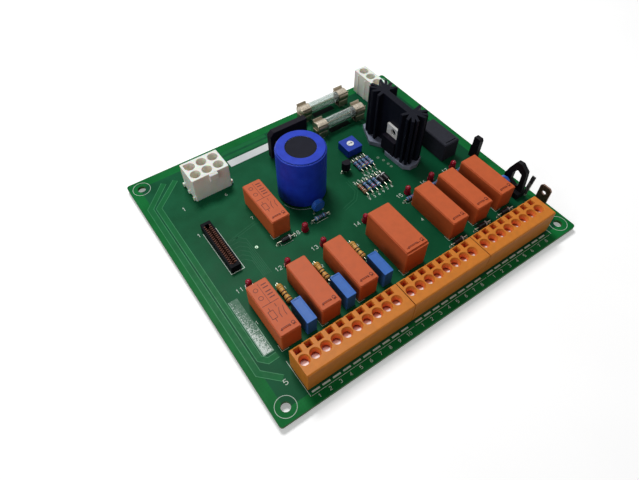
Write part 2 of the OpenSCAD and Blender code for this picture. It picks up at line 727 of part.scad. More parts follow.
// Black extrusion: two stars of tapered fins joined by the plate that takes the regulator
module heatsink() {
    fin_l = 12;
    color([0.06, 0.06, 0.08]) at(HEATSINK_AT, heatsink_base_t) difference() {
        linear_extrude(heatsink_h) union() {
            for (h = HUBS) translate(h) circle(hub_r);
            intersection() {
                fin_outline();
                for (h = HUBS) translate(h) for (a = FIN_ANGLES)
                    rotate(h[1] > 0 ? a : a + 180)
                        polygon([[-fin_t, 0], [fin_t, 0], [0.5 * fin_t, fin_l], [-0.5 * fin_t, fin_l]]);
            }
            translate([web_x - web_t / 2, HUBS[1][1]]) square([web_t, HUBS[0][1] - HUBS[1][1]]);
        }
        translate([web_x, REGULATOR_Y, regulator_hole_z - heatsink_base_t])
            rotate([0, 90, 0]) cylinder(d = 3.4, h = 3 * web_t, center = true);
    }
}

module heatsink_base() {
    color([0.36, 0.38, 0.42]) at(HEATSINK_AT) linear_extrude(heatsink_base_t) difference() {
        heatsink_outline();
        for (p = regulator_leads) translate(p - HEATSINK_AT) circle(d = 1.2, $fn = 24);
    }
}

module regulator_body() {
    lead_w = 0.8;
    color([0.09, 0.09, 0.1]) at(HEATSINK_AT + [0, REGULATOR_Y]) difference() {
        translate([regulator_back - regulator_d, -regulator_w / 2, regulator_z])
            cube([regulator_d - 0.05, regulator_w, regulator_body_h]);
        translate([regulator_back - regulator_tab_t, -regulator_w, regulator_z + 0.6])
            cube([5, 2 * regulator_w, 20]);
    }
}

// Copper frame: the drilled tab, with the three leads below the body
module regulator_frame() {
    color([0.62, 0.62, 0.62]) {
        at(HEATSINK_AT + [regulator_back - regulator_tab_t, REGULATOR_Y]) difference() {
            translate([0.02, -regulator_w / 2, regulator_z + 0.65])
                cube([regulator_tab_t - 0.04, regulator_w, regulator_tab_h - 0.65]);
            translate([0, 0, regulator_hole_z]) rotate([0, 90, 0]) cylinder(d = 3.7, h = 9, center = true);
        }
        leads(regulator_leads, light_lead_d, regulator_z);
    }
}

// ---- Small parts ----

module transistor() {
    r = 2.35;
    stand = 2;
    color([0.1, 0.09, 0.09]) at(TRANSISTOR_AT, stand) linear_extrude(4.8) difference() {
        circle(r);
        translate([-r, r * 0.62]) square([2 * r, r]);
    }
}

module film_capacitors() {
    s = film_size;
    color([0.16, 0.4, 0.75]) for (p = FILM_AT) at(p, 0.1) difference() {
        rounded_block(s, 0.3);
        translate([0, 0, s[2] - 0.15]) rounded_block([s[0] - 1.2, s[1] - 1.2, 1], 0.2);
    }
}

module disc_capacitors() {
    color([0.16, 0.3, 0.62]) for (d = DISC_AT)
        at([d[0], d[1]], disc_cap_d / 2 + 1.2) rotate([90, 0, d[2]]) {
            cylinder(d = disc_cap_d - 1, h = disc_cap_t, center = true);
            cylinder(d = disc_cap_d, h = disc_cap_t - 1, center = true);
        }
}

module leds() {
    r = led_d / 2;
    color([0.5, 0.04, 0.1]) for (p = LED_AT) at(p) rotate_extrude() {
        square([r + 0.35, 0.9]);
        square([r, led_h - r]);
        translate([0, led_h - r]) intersection() {
            circle(r);
            square(r);
        }
    }
}

// Moulded resistor: thick ends and a slimmer waist, lying along Z
module resistor_shape(l, d) {
    cap = 0.22 * l;
    waist = 0.84 * d;
    rotate_extrude() {
        translate([0, -l / 2 + 0.3]) square([waist / 2, l - 0.6]);
        for (s = [0, 1])
            mirror([0, s]) polygon([[0, l / 2 - cap - 0.3], [waist / 2, l / 2 - cap - 0.3],
                [d / 2, l / 2 - cap], [d / 2, l / 2 - 0.5], [d / 2 - 0.4, l / 2], [0, l / 2]]);
    }
}

module lying_y(p, d) {
    at(p, d / 2 + 0.15) rotate([90, 0, 0]) children();
}

module lying_x(p, d) {
    at(p, d / 2 + 0.15) rotate([0, 90, 0]) children();
}

module load_resistors() {
    color([0.82, 0.66, 0.4]) for (p = LOAD_AT) lying_y(p, load_d) resistor_shape(load_l, load_d);
}

module signal_resistors() {
    color([0.3, 0.5, 0.68]) {
        for (p = SMALL_ALONG_Y) lying_y(p, small_d) resistor_shape(small_l, small_d);
        for (p = SMALL_ALONG_X) lying_x(p, small_d) resistor_shape(small_l, small_d);
    }
}

module diode_shape() {
    rotate_extrude() translate([0, -diode_l / 2])
        polygon([[0, 0], [diode_d / 2 - 0.2, 0], [diode_d / 2, 0.2], [diode_d / 2, diode_l - 0.2],
            [diode_d / 2 - 0.2, diode_l], [0, diode_l]]);
}

module diodes() {
    color([0.1, 0.1, 0.11]) {
        for (p = DIODES_ALONG_Y) lying_y(p, diode_d) diode_shape();
        for (p = DIODES_ALONG_X) lying_x(p, diode_d) diode_shape();
    }
}

// Two bent wires of a lying part: out along its axis, round a bend and down through the board
module bent_leads(l, span, axis_z) {
    r = light_lead_d / 2;
    reach = span / 2 - l / 2;
    for (s = [0, 1])
        mirror([s, 0, 0]) {
            translate([l / 2, 0, axis_z]) rotate([0, 90, 0]) cylinder(r = r, h = reach, $fn = 16);
            translate([span / 2, 0, axis_z]) sphere(r, $fn = 16);
            translate([span / 2, 0, -board_t - lead_stub])
                cylinder(r = r, h = board_t + lead_stub + axis_z, $fn = 16);
        }
}

module axial_leads() {
    color([0.78, 0.78, 0.76]) {
        for (p = LOAD_AT) at(p) rotate(90) bent_leads(load_l, load_span, load_d / 2 + 0.15);
        for (p = SMALL_ALONG_Y) at(p) rotate(90) bent_leads(small_l, small_span, small_d / 2 + 0.15);
        for (p = SMALL_ALONG_X) at(p) bent_leads(small_l, small_span, small_d / 2 + 0.15);
        for (p = DIODES_ALONG_Y) at(p) rotate(90) bent_leads(diode_l, small_span, diode_d / 2 + 0.15);
        for (p = DIODES_ALONG_X) at(p) bent_leads(diode_l, small_span, diode_d / 2 + 0.15);
    }
}

module radial_leads() {
    color([0.78, 0.78, 0.76]) {
        leads(film_leads, light_lead_d, 0.1);
        leads(led_leads, light_lead_d, 0);
        leads(disc_leads, light_lead_d, 2);
        leads(transistor_leads, light_lead_d, 1.4);
        for (i = [-1:1]) at(TRANSISTOR_AT) rotate([90, 0, 0])
            translate([0, 0, -light_lead_d / 2]) linear_extrude(light_lead_d)
            strip_path([[i * 2.54, 1.2], [i * 1.27, 2 - light_lead_d / 2]], light_lead_d);
    }
}

// Nylon clip: an arched loop for a cable bundle, pegged into the board
module cable_clip() {
    color([0.07, 0.07, 0.08]) at(CLIP_AT) {
        across(clip_w) difference() {
            polygon([[-6.3, 0], [6.2, 0], [6.2, 8.5], [4.8, 13], [2.2, 18.6], [-0.6, 19],
                [-4.6, 16.2], [-5, 13.5], [-5.6, 8]]);
            polygon([[-3.1, 6.4], [-0.9, 4.6], [2.2, 6.2], [2.2, 11.6], [0.2, 14.6], [-2.6, 13.4]]);
        }
        translate([-3.7, -6.3, 0]) cube([6.3, 4, 3.4]);
        translate([0, 0, -board_t - 1]) cylinder(d = 2.4, h = board_t + 1.5);
    }
}

module tie_post() {
    color([0.07, 0.07, 0.08]) at(POST_AT) {
        across(2.8) difference() {
            polygon([[-2.4, 0], [2.4, 0], [2.4, 7], [1.8, 7.6], [1.8, 13], [-1.7, 13.3], [-2.4, 12]]);
            translate([-0.9, 9.6]) circle(d = 1.7);
        }
        translate([0, 0, -board_t - 1]) cylinder(d = 2.4, h = board_t + 1.5);
    }
}

// Leaning contact blade beside the clip
module edge_pin() {
    color([0.5, 0.5, 0.48]) {
        at(EDGE_PIN_AT) rotate([90, 0, 0]) translate([0, 0, -1]) linear_extrude(2)
            strip_path([[0, 0.6], [0, 2.6], [1.6, 11.4]], 0.8);
        leads([EDGE_PIN_AT], heavy_lead_d, 0.6);
    }
}

// ---- Nodes ----

circuit_board();
solder_joints();
label_strip();
terminal_block(0);  // terminal_block_left
terminal_block(1);  // terminal_block_middle
terminal_block(2);  // terminal_block_right
terminal_contacts(0);  // terminal_contacts_left
terminal_contacts(1);  // terminal_contacts_middle
terminal_contacts(2);  // terminal_contacts_right
terminal_springs(0);  // terminal_springs_left
terminal_springs(1);  // terminal_springs_middle
terminal_springs(2);  // terminal_springs_right
relay_cover(RELAY_AT[0], relay_w, relay_l, relay_h);  // relay_cover_1
relay_cover(RELAY_AT[1], relay_w, relay_l, relay_h);  // relay_cover_2
relay_cover(RELAY_AT[2], relay_w, relay_l, relay_h);  // relay_cover_3
relay_cover(RELAY_AT[3], relay_w, relay_l, relay_h);  // relay_cover_4
relay_cover(RELAY_AT[4], relay_w, relay_l, relay_h);  // relay_cover_5
relay_cover(RELAY_AT[5], relay_w, relay_l, relay_h);  // relay_cover_6
relay_cover(RELAY_AT[6], relay_w, relay_l, relay_h);  // relay_cover_7
power_relay_cover();
relay_bases();
relay_pins();
signal_relay();
signal_relay_pins();
power_header();
side_header();
header_pins();
ribbon_socket();
ribbon_contacts();
capacitor_can();
capacitor_sleeve();
capacitor_disc();
capacitor_pins();
bridge_rectifier();
bridge_leads();
fuse_clips();
fuse_tubes();
fuse_caps();
fuse_wires();
trimmer_body();
trimmer_rotor();
trimmer_pins();
heatsink();
heatsink_base();
regulator_body();
regulator_frame();
transistor();
film_capacitors();
disc_capacitors();
leds();
load_resistors();
signal_resistors();
diodes();
axial_leads();
radial_leads();
earth_tab();
cable_clip();
tie_post();
edge_pin();
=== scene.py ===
"""Finish of the relay module board: materials, printed layer, colour bands, light and camera."""

import math

import bmesh
import bpy
import numpy as np
from mathutils import Euler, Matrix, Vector


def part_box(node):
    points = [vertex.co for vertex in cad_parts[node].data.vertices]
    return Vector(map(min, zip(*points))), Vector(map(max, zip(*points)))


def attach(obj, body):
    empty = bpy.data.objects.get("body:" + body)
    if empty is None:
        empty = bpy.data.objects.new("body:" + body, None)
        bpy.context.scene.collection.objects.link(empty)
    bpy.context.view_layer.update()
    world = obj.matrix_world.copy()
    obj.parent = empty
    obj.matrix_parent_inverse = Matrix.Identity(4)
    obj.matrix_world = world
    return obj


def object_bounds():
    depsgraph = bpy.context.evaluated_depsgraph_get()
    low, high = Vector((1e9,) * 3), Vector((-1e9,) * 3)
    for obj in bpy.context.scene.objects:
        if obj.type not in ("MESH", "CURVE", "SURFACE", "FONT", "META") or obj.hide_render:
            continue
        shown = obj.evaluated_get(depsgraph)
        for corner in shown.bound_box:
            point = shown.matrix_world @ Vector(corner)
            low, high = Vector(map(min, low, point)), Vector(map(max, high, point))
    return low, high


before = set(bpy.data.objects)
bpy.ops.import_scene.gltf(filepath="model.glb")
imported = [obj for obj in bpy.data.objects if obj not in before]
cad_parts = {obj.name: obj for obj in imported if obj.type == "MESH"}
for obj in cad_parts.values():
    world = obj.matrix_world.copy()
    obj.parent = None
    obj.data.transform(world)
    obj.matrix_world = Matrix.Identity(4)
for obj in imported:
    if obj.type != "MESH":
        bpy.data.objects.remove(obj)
cad_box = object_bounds()

MM = 0.001
BOARD_THICKNESS = 1.6 * MM
BOARD_LOW, BOARD_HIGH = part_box("circuit_board")
TOP = BOARD_HIGH.z
UNDERSIDE = TOP - BOARD_THICKNESS
BOARD_W = (BOARD_HIGH.x - BOARD_LOW.x) / MM
BOARD_D = (BOARD_HIGH.y - BOARD_LOW.y) / MM
POLES = {"left": 10, "middle": 8, "right": 8}
RELAYS = ["relay_cover_%d" % i for i in range(1, 8)] + ["power_relay_cover"]


def place(x, y):
    """A point on the board's top face, in millimetres from its near left corner."""
    return Vector((BOARD_LOW.x + x * MM, BOARD_LOW.y + y * MM, TOP))


def board_place(point):
    """The millimetre place on the board of a point in metres."""
    return (point.x - BOARD_LOW.x) / MM, (point.y - BOARD_LOW.y) / MM


def middle_of(low, high):
    """The millimetre place on the board of the middle of a box."""
    return board_place((low + high) / 2)


def span(low, high):
    """A box in board millimetres, as x0, y0, x1, y1."""
    return board_place(low) + board_place(high)


def plan(node):
    """The box of a node in board millimetres, as x0, y0, x1, y1."""
    return span(*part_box(node))


def linear(colour):
    """Linear colour from screen values of 0 to 255, by the sRGB curve."""
    values = []
    for part in colour:
        c = part / 255
        values.append(c / 12.92 if c <= 0.04045 else ((c + 0.055) / 1.055) ** 2.4)
    return tuple(values) + (1.0,)


def shade(colour, factor):
    """The same screen colour, lighter or darker."""
    return tuple(min(255, part * factor) for part in colour)


def solids(node):
    """The boxes of the separate solids of a CAD node, as (low, high) pairs in metres."""
    grid = 1e6  # steps per metre within which vertices count as one
    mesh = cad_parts[node].data
    co = np.empty(len(mesh.vertices) * 3, np.float32)
    mesh.vertices.foreach_get("co", co)
    co = co.reshape(-1, 3)
    keys = np.round(co * grid).astype(np.int64)
    unique, index = np.unique(keys, axis=0, return_inverse=True)
    index = index.reshape(-1)
    edges = np.empty(len(mesh.edges) * 2, np.int32)
    mesh.edges.foreach_get("vertices", edges)
    edges = index[edges.reshape(-1, 2)]
    label = np.arange(len(unique))
    while True:
        low = np.minimum(label[edges[:, 0]], label[edges[:, 1]])
        step = label.copy()
        np.minimum.at(step, edges[:, 0], low)
        np.minimum.at(step, edges[:, 1], low)
        step = step[step]
        if np.array_equal(step, label):
            break
        label = step
    boxes = []
    for name in np.unique(label):
        points = unique[label == name] * (1 / grid)
        boxes.append((Vector(points.min(0)), Vector(points.max(0))))
    return boxes


def from_left(node):
    """The solids of a node in the order of their left sides."""
    return sorted(solids(node), key=lambda solid: solid[0].x)


def by_rows(node, depth):
    """The solids of a node from left to right in rows of about that depth, the near row first."""
    return sorted(solids(node), key=lambda solid: (round(solid[0].y / depth), solid[0].x))


# Materials

class Graph:
    """A node tree for one procedural material."""

    def __init__(self, name):
        self.material = bpy.data.materials.new(name)
        self.material.use_nodes = True
        self.tree = self.material.node_tree
        self.tree.nodes.clear()
        self.shader = self.node("ShaderNodeBsdfPrincipled")
        self.link(self.shader.outputs[0], self.node("ShaderNodeOutputMaterial").inputs[0])
        self.coords = self.node("ShaderNodeTexCoord").outputs["Object"]
        parts = self.node("ShaderNodeSeparateXYZ")
        self.link(self.coords, parts.inputs[0])
        self.x, self.y, self.z = parts.outputs

    def node(self, kind, **settings):
        made = self.tree.nodes.new(kind)
        for key, value in settings.items():
            setattr(made, key, value)
        return made

    def link(self, a, b):
        self.tree.links.new(a, b)

    def feed(self, socket, value):
        """Link a socket to another one, or set it to a plain value."""
        if isinstance(value, bpy.types.NodeSocket):
            self.link(value, socket)
        else:
            socket.default_value = value

    def math(self, operation, a, b=0.0):
        made = self.node("ShaderNodeMath", operation=operation)
        for socket, value in zip(made.inputs, (a, b)):
            self.feed(socket, value)
        return made.outputs[0]

    def ramp(self, value, low, high, to_low=0.0, to_high=1.0):
        """The value mapped from low..high to to_low..to_high and held there beyond them."""
        made = self.node("ShaderNodeMapRange", clamp=True)
        for socket, item in zip(made.inputs, (value, low, high, to_low, to_high)):
            self.feed(socket, item)
        return made.outputs[0]

    def mix(self, factor, a, b):
        made = self.node("ShaderNodeMix", data_type="RGBA")
        self.feed(made.inputs[0], factor)
        self.feed(made.inputs[6], a)
        self.feed(made.inputs[7], b)
        return made.outputs[2]

    def noise(self, size_mm, detail=3.0, stretch=None):
        """Noise with blobs about size_mm across, stretched along the axes by stretch."""
        made = self.node("ShaderNodeTexNoise")
        made.inputs["Scale"].default_value = 1 / (size_mm * MM)
        made.inputs["Detail"].default_value = detail
        source = self.coords
        if stretch:
            mapping = self.node("ShaderNodeMapping")
            mapping.inputs["Scale"].default_value = tuple(1 / s for s in stretch)
            self.link(self.coords, mapping.inputs[0])
            source = mapping.outputs[0]
        self.link(source, made.inputs["Vector"])
        return made.outputs[0]

    def spread(self, noise, low=0.0, high=1.0):
        """The usual swing of a noise, 0.3 to 0.7, spread over low to high."""
        return self.ramp(noise, 0.3, 0.7, low, high)

    def cloud(self, size_mm, low=0.0, high=1.0, **settings):
        """Soft clouds about size_mm across, between low and high."""
        return self.spread(self.noise(size_mm, **settings), low, high)

    def between(self, value, low, high, soft=0.05 * MM):
        """One between low and high, zero outside."""
        return self.math("MULTIPLY", self.ramp(value, low - soft, low + soft),
                         self.ramp(value, high - soft, high + soft, 1.0, 0.0))

    def rounding(self, radius_mm):
        """The normal as if all edges were rounded by radius_mm."""
        made = self.node("ShaderNodeBevel", samples=4)
        made.inputs[0].default_value = radius_mm * MM
        return made.outputs[0]

    def edge(self, normal, low=0.02, high=0.2):
        """One along the edges that a rounded normal bends."""
        true = self.node("ShaderNodeNewGeometry").outputs["Normal"]
        dot = self.node("ShaderNodeVectorMath", operation="DOT_PRODUCT")
        self.link(normal, dot.inputs[0])
        self.link(true, dot.inputs[1])
        return self.ramp(self.math("SUBTRACT", 1.0, dot.outputs["Value"]), low, high)

    def bump(self, height, depth_mm, normal=None):
        made = self.node("ShaderNodeBump")
        made.inputs["Strength"].default_value = 1.0
        made.inputs["Distance"].default_value = depth_mm * MM
        self.link(height, made.inputs["Height"])
        if normal is not None:
            self.link(normal, made.inputs["Normal"])
        return made.outputs[0]

    def finish(self, colour, roughness, normal=None, **values):
        """Set the shader; values name its other sockets, with _ for a space."""
        self.feed(self.shader.inputs["Base Color"], colour)
        self.feed(self.shader.inputs["Roughness"], roughness)
        if normal is not None:
            self.link(normal, self.shader.inputs["Normal"])
        for key, value in values.items():
            self.shader.inputs[key.replace("_", " ")].default_value = value
        return self.material


def moulded(name, colour, rough=0.45, mottle=0.05, mottle_mm=2.5, grain_mm=0.12, grain=0.004,
            rounded=0.2, edge_highlight=1.18, drift=0.03, **values):
    """Plastic, paint or metal with an even colour: mottled, grained, with a painted highlight along the
    edges.
    """
    g = Graph(name)
    base = g.mix(g.cloud(mottle_mm), linear(shade(colour, 1 - mottle)), linear(shade(colour, 1 + mottle)))
    normal = None
    if rounded:
        normal = g.rounding(rounded)
        # Painted highlight: the rounded edges are lightened by that factor, as if they caught the light.
        base = g.mix(g.edge(normal), base, linear(shade(colour, edge_highlight)))
    normal = g.bump(g.noise(grain_mm), grain, normal)
    values.setdefault("Specular_IOR_Level", 0.22)
    return g.finish(base, g.cloud(mottle_mm / 2, rough - drift, rough + drift), normal, **values)


def metal(name, colour, rough):
    """Bare or plated metal, mottled and finely grained."""
    return moulded(name, colour, rough, mottle=0.12, mottle_mm=0.8, grain_mm=0.08, grain=0.002,
                   rounded=0.1, edge_highlight=1.15, drift=0.05, Metallic=1.0, Specular_IOR_Level=0.5)


def board_finish():
    """Green solder mask over glass cloth: brighter rim, middle darker to the right, raw edges."""
    g = Graph("board_laminate")
    rim_start, rim_end = 5.0 * MM, 5.4 * MM
    dark_start, dark_end = -20 * MM, 60 * MM
    thread = 4.4 * MM
    edge_x = g.math("SUBTRACT", BOARD_W / 2 * MM, g.math("ABSOLUTE", g.x))
    edge_y = g.math("SUBTRACT", BOARD_D / 2 * MM, g.math("ABSOLUTE", g.y))
    margin = g.math("MINIMUM", edge_x, edge_y)
    rim = g.mix(g.ramp(g.noise(14.0), 0.35, 0.65), linear((10, 98, 44)), linear((20, 113, 55)))
    inner = g.mix(g.ramp(g.noise(12.0), 0.35, 0.65), linear((14, 78, 48)), linear((22, 90, 58)))
    inner = g.mix(g.ramp(g.x, dark_start, dark_end), inner, linear((10, 70, 44)))
    base = g.mix(g.ramp(margin, rim_start, rim_end), rim, inner)
    weave_x = g.node("ShaderNodeTexWave", bands_direction="X")
    weave_y = g.node("ShaderNodeTexWave", bands_direction="Y")
    for wave in (weave_x, weave_y):
        wave.inputs["Scale"].default_value = 1 / thread
        wave.inputs["Distortion"].default_value = 0.6
        g.link(g.coords, wave.inputs["Vector"])
    weave = g.math("MULTIPLY", weave_x.outputs["Fac"], weave_y.outputs["Fac"])
    base = g.mix(g.math("MULTIPLY", weave, 0.16), base, linear((20, 70, 44)))
    normal = g.rounding(0.15)
    geometry = g.node("ShaderNodeNewGeometry").outputs["Normal"]
    parts = g.node("ShaderNodeSeparateXYZ")
    g.link(geometry, parts.inputs[0])
    side = g.ramp(g.math("ABSOLUTE", parts.outputs[2]), 0.4, 0.7, 1.0, 0.0)
    layers = g.cloud(0.35, stretch=(14, 14, 0.5))
    raw = g.mix(layers, linear((44, 92, 48)), linear((92, 130, 74)))
    base = g.mix(side, base, raw)
    dust = g.ramp(g.noise(0.35, detail=1.0), 0.72, 0.78)
    base = g.mix(g.math("MULTIPLY", dust, 0.25), base, linear((80, 130, 100)))
    rough = g.cloud(6.0, 0.36, 0.42)
    normal = g.bump(g.math("ADD", g.noise(0.5), g.math("MULTIPLY", weave, 0.5)), 0.004, normal)
    return g.finish(base, rough, normal, Specular_IOR_Level=0.035)


def mask_finish(name, colour, specular):
    """Solder mask over a copper track, with a faint wrinkle."""
    g = Graph(name)
    base = g.mix(g.cloud(6.0), linear(shade(colour, 0.95)), linear(shade(colour, 1.05)))
    wrinkle = g.math("ADD", g.noise(0.5, detail=4.0), g.math("MULTIPLY", g.noise(1.5), 0.8))
    return g.finish(base, g.cloud(2.0, 0.36, 0.44), g.bump(wrinkle, 0.003), Specular_IOR_Level=specular)


def tinned_finish():
    """Mask wrinkled over tinned copper, its pale flecks partly tin and partly painted glare: palest at the
    near left end, greener towards the far end.
    """
    g = Graph("tinned_mask")
    low, high = place(10.2, 29), place(14.4, 58)
    near = g.ramp(g.y, low.y, high.y, 1.0, 0.0)
    left = g.ramp(g.x, low.x, high.x, 1.0, 0.0)
    grain = g.noise(0.4, detail=4.0, stretch=(1, 1.6, 1))
    patches = g.noise(2.4, stretch=(1, 0.6, 1))
    # Painted glare: the pale flecks thicken towards the near left end, where the key lamp's reflection lies.
    level = g.math("ADD", g.math("MULTIPLY", near, 0.3), g.math("MULTIPLY", left, 0.2))
    level = g.math("ADD", level, g.math("MULTIPLY", patches, 0.3))
    tin_and_glare = g.ramp(g.math("ADD", grain, level), 0.86, 1.1)
    base = g.mix(g.math("MULTIPLY", tin_and_glare, 0.85), linear((26, 88, 58)), linear((216, 230, 225)))
    rough = g.cloud(1.5, 0.4, 0.5)
    return g.finish(base, rough, g.bump(grain, 0.02), Specular_IOR_Level=0.25)


def glass_finish():
    """Clear glass, drawn along the tube."""
    g = Graph("fuse_glass")
    streak = g.noise(1.2, stretch=(6, 1, 1))
    base = g.mix(streak, linear((214, 224, 220)), linear((234, 240, 238)))
    normal = g.bump(streak, 0.004)
    return g.finish(base, g.cloud(0.8, 0.02, 0.08), normal,
                    Transmission_Weight=0.88, IOR=1.35)


def header_finish():
    """Off-white nylon with painted light, a little paler inside the sockets."""
    g = Graph("header_plastic")
    wall = 1.6 * MM
    base = g.mix(g.cloud(4.0), linear((236, 235, 226)), linear((244, 243, 235)))
    for name in ("power_header", "side_header"):
        low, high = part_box(name)
        core = g.math("MULTIPLY", g.between(g.x, low.x + wall, high.x - wall),
                      g.between(g.y, low.y + wall, high.y - wall))
        # Painted light: the sockets turn paler towards their bottom, against the shade inside them.
        well_light = g.math("MULTIPLY", core, g.ramp(g.z, high.z - 4 * MM, high.z - 0.4 * MM, 1.0, 0.0))
        base = g.mix(well_light, base, linear((246, 247, 234)))
    normal = g.rounding(0.2)
    # Painted highlight along the edges.
    base = g.mix(g.edge(normal), base, linear((248, 247, 240)))
    normal = g.bump(g.noise(0.12), 0.003, normal)
    return g.finish(base, g.cloud(2.0, 0.38, 0.44), normal,
                    Subsurface_Weight=0.4, Subsurface_Scale=0.004, Specular_IOR_Level=0.25)


def led_finish():
    """Dark red lens, brighter towards its dome."""
    g = Graph("red_lens")
    low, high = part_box("leds")
    base = g.mix(g.ramp(g.z, low.z, high.z), linear((84, 3, 20)), linear((140, 8, 38)))
    base = g.mix(g.cloud(0.8, 0.0, 0.25), base, linear((170, 20, 54)))
    return g.finish(base, g.cloud(0.6, 0.1, 0.2), g.bump(g.noise(0.4), 0.003),
                    Specular_IOR_Level=0.25)


def pole_finish():
    """Orange terminal housing with painted light, lighter and redder towards the bottom of its holes."""
    g = Graph("terminal_plastic")
    colour = (206, 122, 38)
    wall = 0.4 * MM
    base = g.mix(g.cloud(2.5), linear(shade(colour, 0.97)), linear(shade(colour, 1.03)))
    inside = 0.0
    for side in POLES:
        low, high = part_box("terminal_block_" + side)
        inside = g.math("ADD", inside, g.between(g.x, low.x + wall, high.x - wall))
    inside = g.math("MULTIPLY", inside, g.between(g.y, low.y + wall, high.y - wall))
    # Painted light: the holes turn lighter towards their bottom, in place of the light that reaches into
    # them.
    well_light = g.math("MULTIPLY", inside, g.ramp(g.z, high.z - 3.0 * MM, high.z - 0.2 * MM, 1.0, 0.0))
    base = g.mix(well_light, base, linear((255, 138, 88)))
    normal = g.rounding(0.22)
    # Painted highlight along the edges.
    base = g.mix(g.edge(normal), base, linear((232, 150, 72)))
    flow = g.noise(1.0, stretch=(9, 1, 2))
    normal = g.bump(g.math("ADD", g.noise(0.12), g.math("MULTIPLY", flow, 0.3)), 0.003, normal)
    return g.finish(base, g.spread(flow, 0.42, 0.48), normal, Subsurface_Weight=0.06,
                    Subsurface_Scale=0.0012, Specular_IOR_Level=0.22)


def sleeve_finish():
    """Blue shrink sleeve drawn tight, soft creases, and a painted highlight that makes it paler at the
    shoulder.
    """
    g = Graph("capacitor_sleeve")
    base = g.mix(g.cloud(4.0), linear((26, 54, 178)), linear((32, 64, 194)))
    normal = g.rounding(0.5)
    # Painted highlight round the shoulder.
    base = g.mix(g.edge(normal, 0.02, 0.25), base, linear((52, 84, 212)))
    creases = g.noise(5.0, detail=1.0, stretch=(1, 1, 0.5))
    normal = g.bump(creases, 0.06, normal)
    return g.finish(base, g.spread(creases, 0.4, 0.48), normal, Specular_IOR_Level=0.16)


def fins_finish():
    """Black anodised extrusion: fine drawn lines up the profile and a painted grey highlight along the edges.
    """
    g = Graph("black_anodised")
    lines = g.noise(0.5, stretch=(1, 1, 60))
    base = g.mix(g.spread(lines), linear((12, 14, 23)), linear((20, 22, 33)))
    normal = g.rounding(0.25)
    # Painted highlight: the edges are lightened to grey, as if they caught the light.
    base = g.mix(g.edge(normal, 0.05, 0.3), base, linear((32, 32, 43)))
    rough = g.cloud(1.5, 0.42, 0.56)
    return g.finish(base, rough, g.bump(lines, 0.008, normal), Specular_IOR_Level=0.06)


def ribbon_finish():
    """Black socket with bronze rungs between its contacts."""
    g = Graph("ribbon_black")
    half_width, end_wall, contact_pitch = 1.75 * MM, 2.2 * MM, 1.27 * MM
    low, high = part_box("ribbon_socket")
    middle = (low + high) / 2
    base = g.mix(g.cloud(1.5), linear((7, 8, 13)), linear((12, 13, 19)))
    core = g.math("MULTIPLY", g.between(g.x, middle.x - half_width, middle.x + half_width),
                  g.between(g.y, low.y + end_wall, high.y - end_wall))
    pitches = g.math("MULTIPLY", g.math("SUBTRACT", g.y, middle.y), 1 / contact_pitch)
    rung = g.math("ABSOLUTE", g.math("SUBTRACT", g.math("FRACT", pitches), 0.5))
    rung = g.ramp(rung, 0.22, 0.3, 0.0, 1.0)
    base = g.mix(core, base, g.mix(rung, linear((36, 26, 24)), linear((104, 68, 56))))
    normal = g.rounding(0.15)
    # Painted highlight along the edges.
    base = g.mix(g.edge(normal), base, linear((17, 17, 22)))
    normal = g.bump(g.noise(0.12), 0.006, normal)
    return g.finish(base, g.cloud(1.0, 0.45, 0.55), normal, Specular_IOR_Level=0.04)


def spring_finish():
    """Bright clamp plate at the front of each pole, with the brown shade of the mouth behind it painted on.
    """
    g = Graph("spring_bright")
    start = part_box("terminal_block_left")[0].y + 6.1 * MM
    wavy = g.math("ADD", g.y, g.math("MULTIPLY", g.noise(1.2), 0.8 * MM))
    # Painted shade: the back of each plate turns brown, like the shaded wall of the mouth.
    mouth = g.ramp(wavy, start, start + 0.7 * MM)
    tin = g.mix(g.cloud(0.8), linear((236, 230, 230)), linear((254, 252, 250)))
    base = g.mix(mouth, tin, linear((168, 82, 52)))
    roughness = g.cloud(0.5, 0.25, 0.4)
    return g.finish(base, roughness, g.bump(g.noise(0.3), 0.01), Specular_IOR_Level=0.4)


FRONT_BANK = (96, 112, 74, 83)  # left, right, near and far in board millimetres


def in_front_bank(low, high):
    """Whether a small resistor stands in the front bank, between the capacitor and the relays."""
    x, y = middle_of(low, high)
    return FRONT_BANK[0] < x < FRONT_BANK[1] and FRONT_BANK[2] < y < FRONT_BANK[3]


def signal_resistor_finish():
    """Blue film resistors; the left one of the front bank is beige brown."""
    g = Graph("signal_resistor")
    drift = g.cloud(0.9)
    blue = g.mix(drift, linear((60, 104, 150)), linear((92, 140, 182)))
    brown = g.mix(drift, linear((128, 98, 76)), linear((158, 126, 98)))
    first = min(low.x for low, high in solids("signal_resistors") if in_front_bank(low, high))
    near, far = place(0, 72).y, place(0, 84).y
    bank = g.math("MULTIPLY", g.between(g.x, first - 0.5 * MM, first + 2.6 * MM), g.between(g.y, near, far))
    base = g.mix(bank, blue, brown)
    return g.finish(base, g.cloud(0.5, 0.25, 0.4), g.bump(g.noise(0.15), 0.004))


def pin_finish():
    """The bright pin with a black insulated tip."""
    g = Graph("edge_metal")
    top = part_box("edge_pin")[1].z
    tip = g.ramp(g.z, top - 4.2 * MM, top - 4.0 * MM)
    steel = g.mix(g.cloud(0.5), linear((120, 122, 120)), linear((176, 178, 174)))
    base = g.mix(tip, steel, linear((24, 24, 26)))
    g.feed(g.shader.inputs["Metallic"], g.ramp(tip, 0.0, 1.0, 0.9, 0.0))
    return g.finish(base, g.ramp(tip, 0.0, 1.0, 0.3, 0.5), g.bump(g.noise(0.15), 0.003, g.rounding(0.1)))


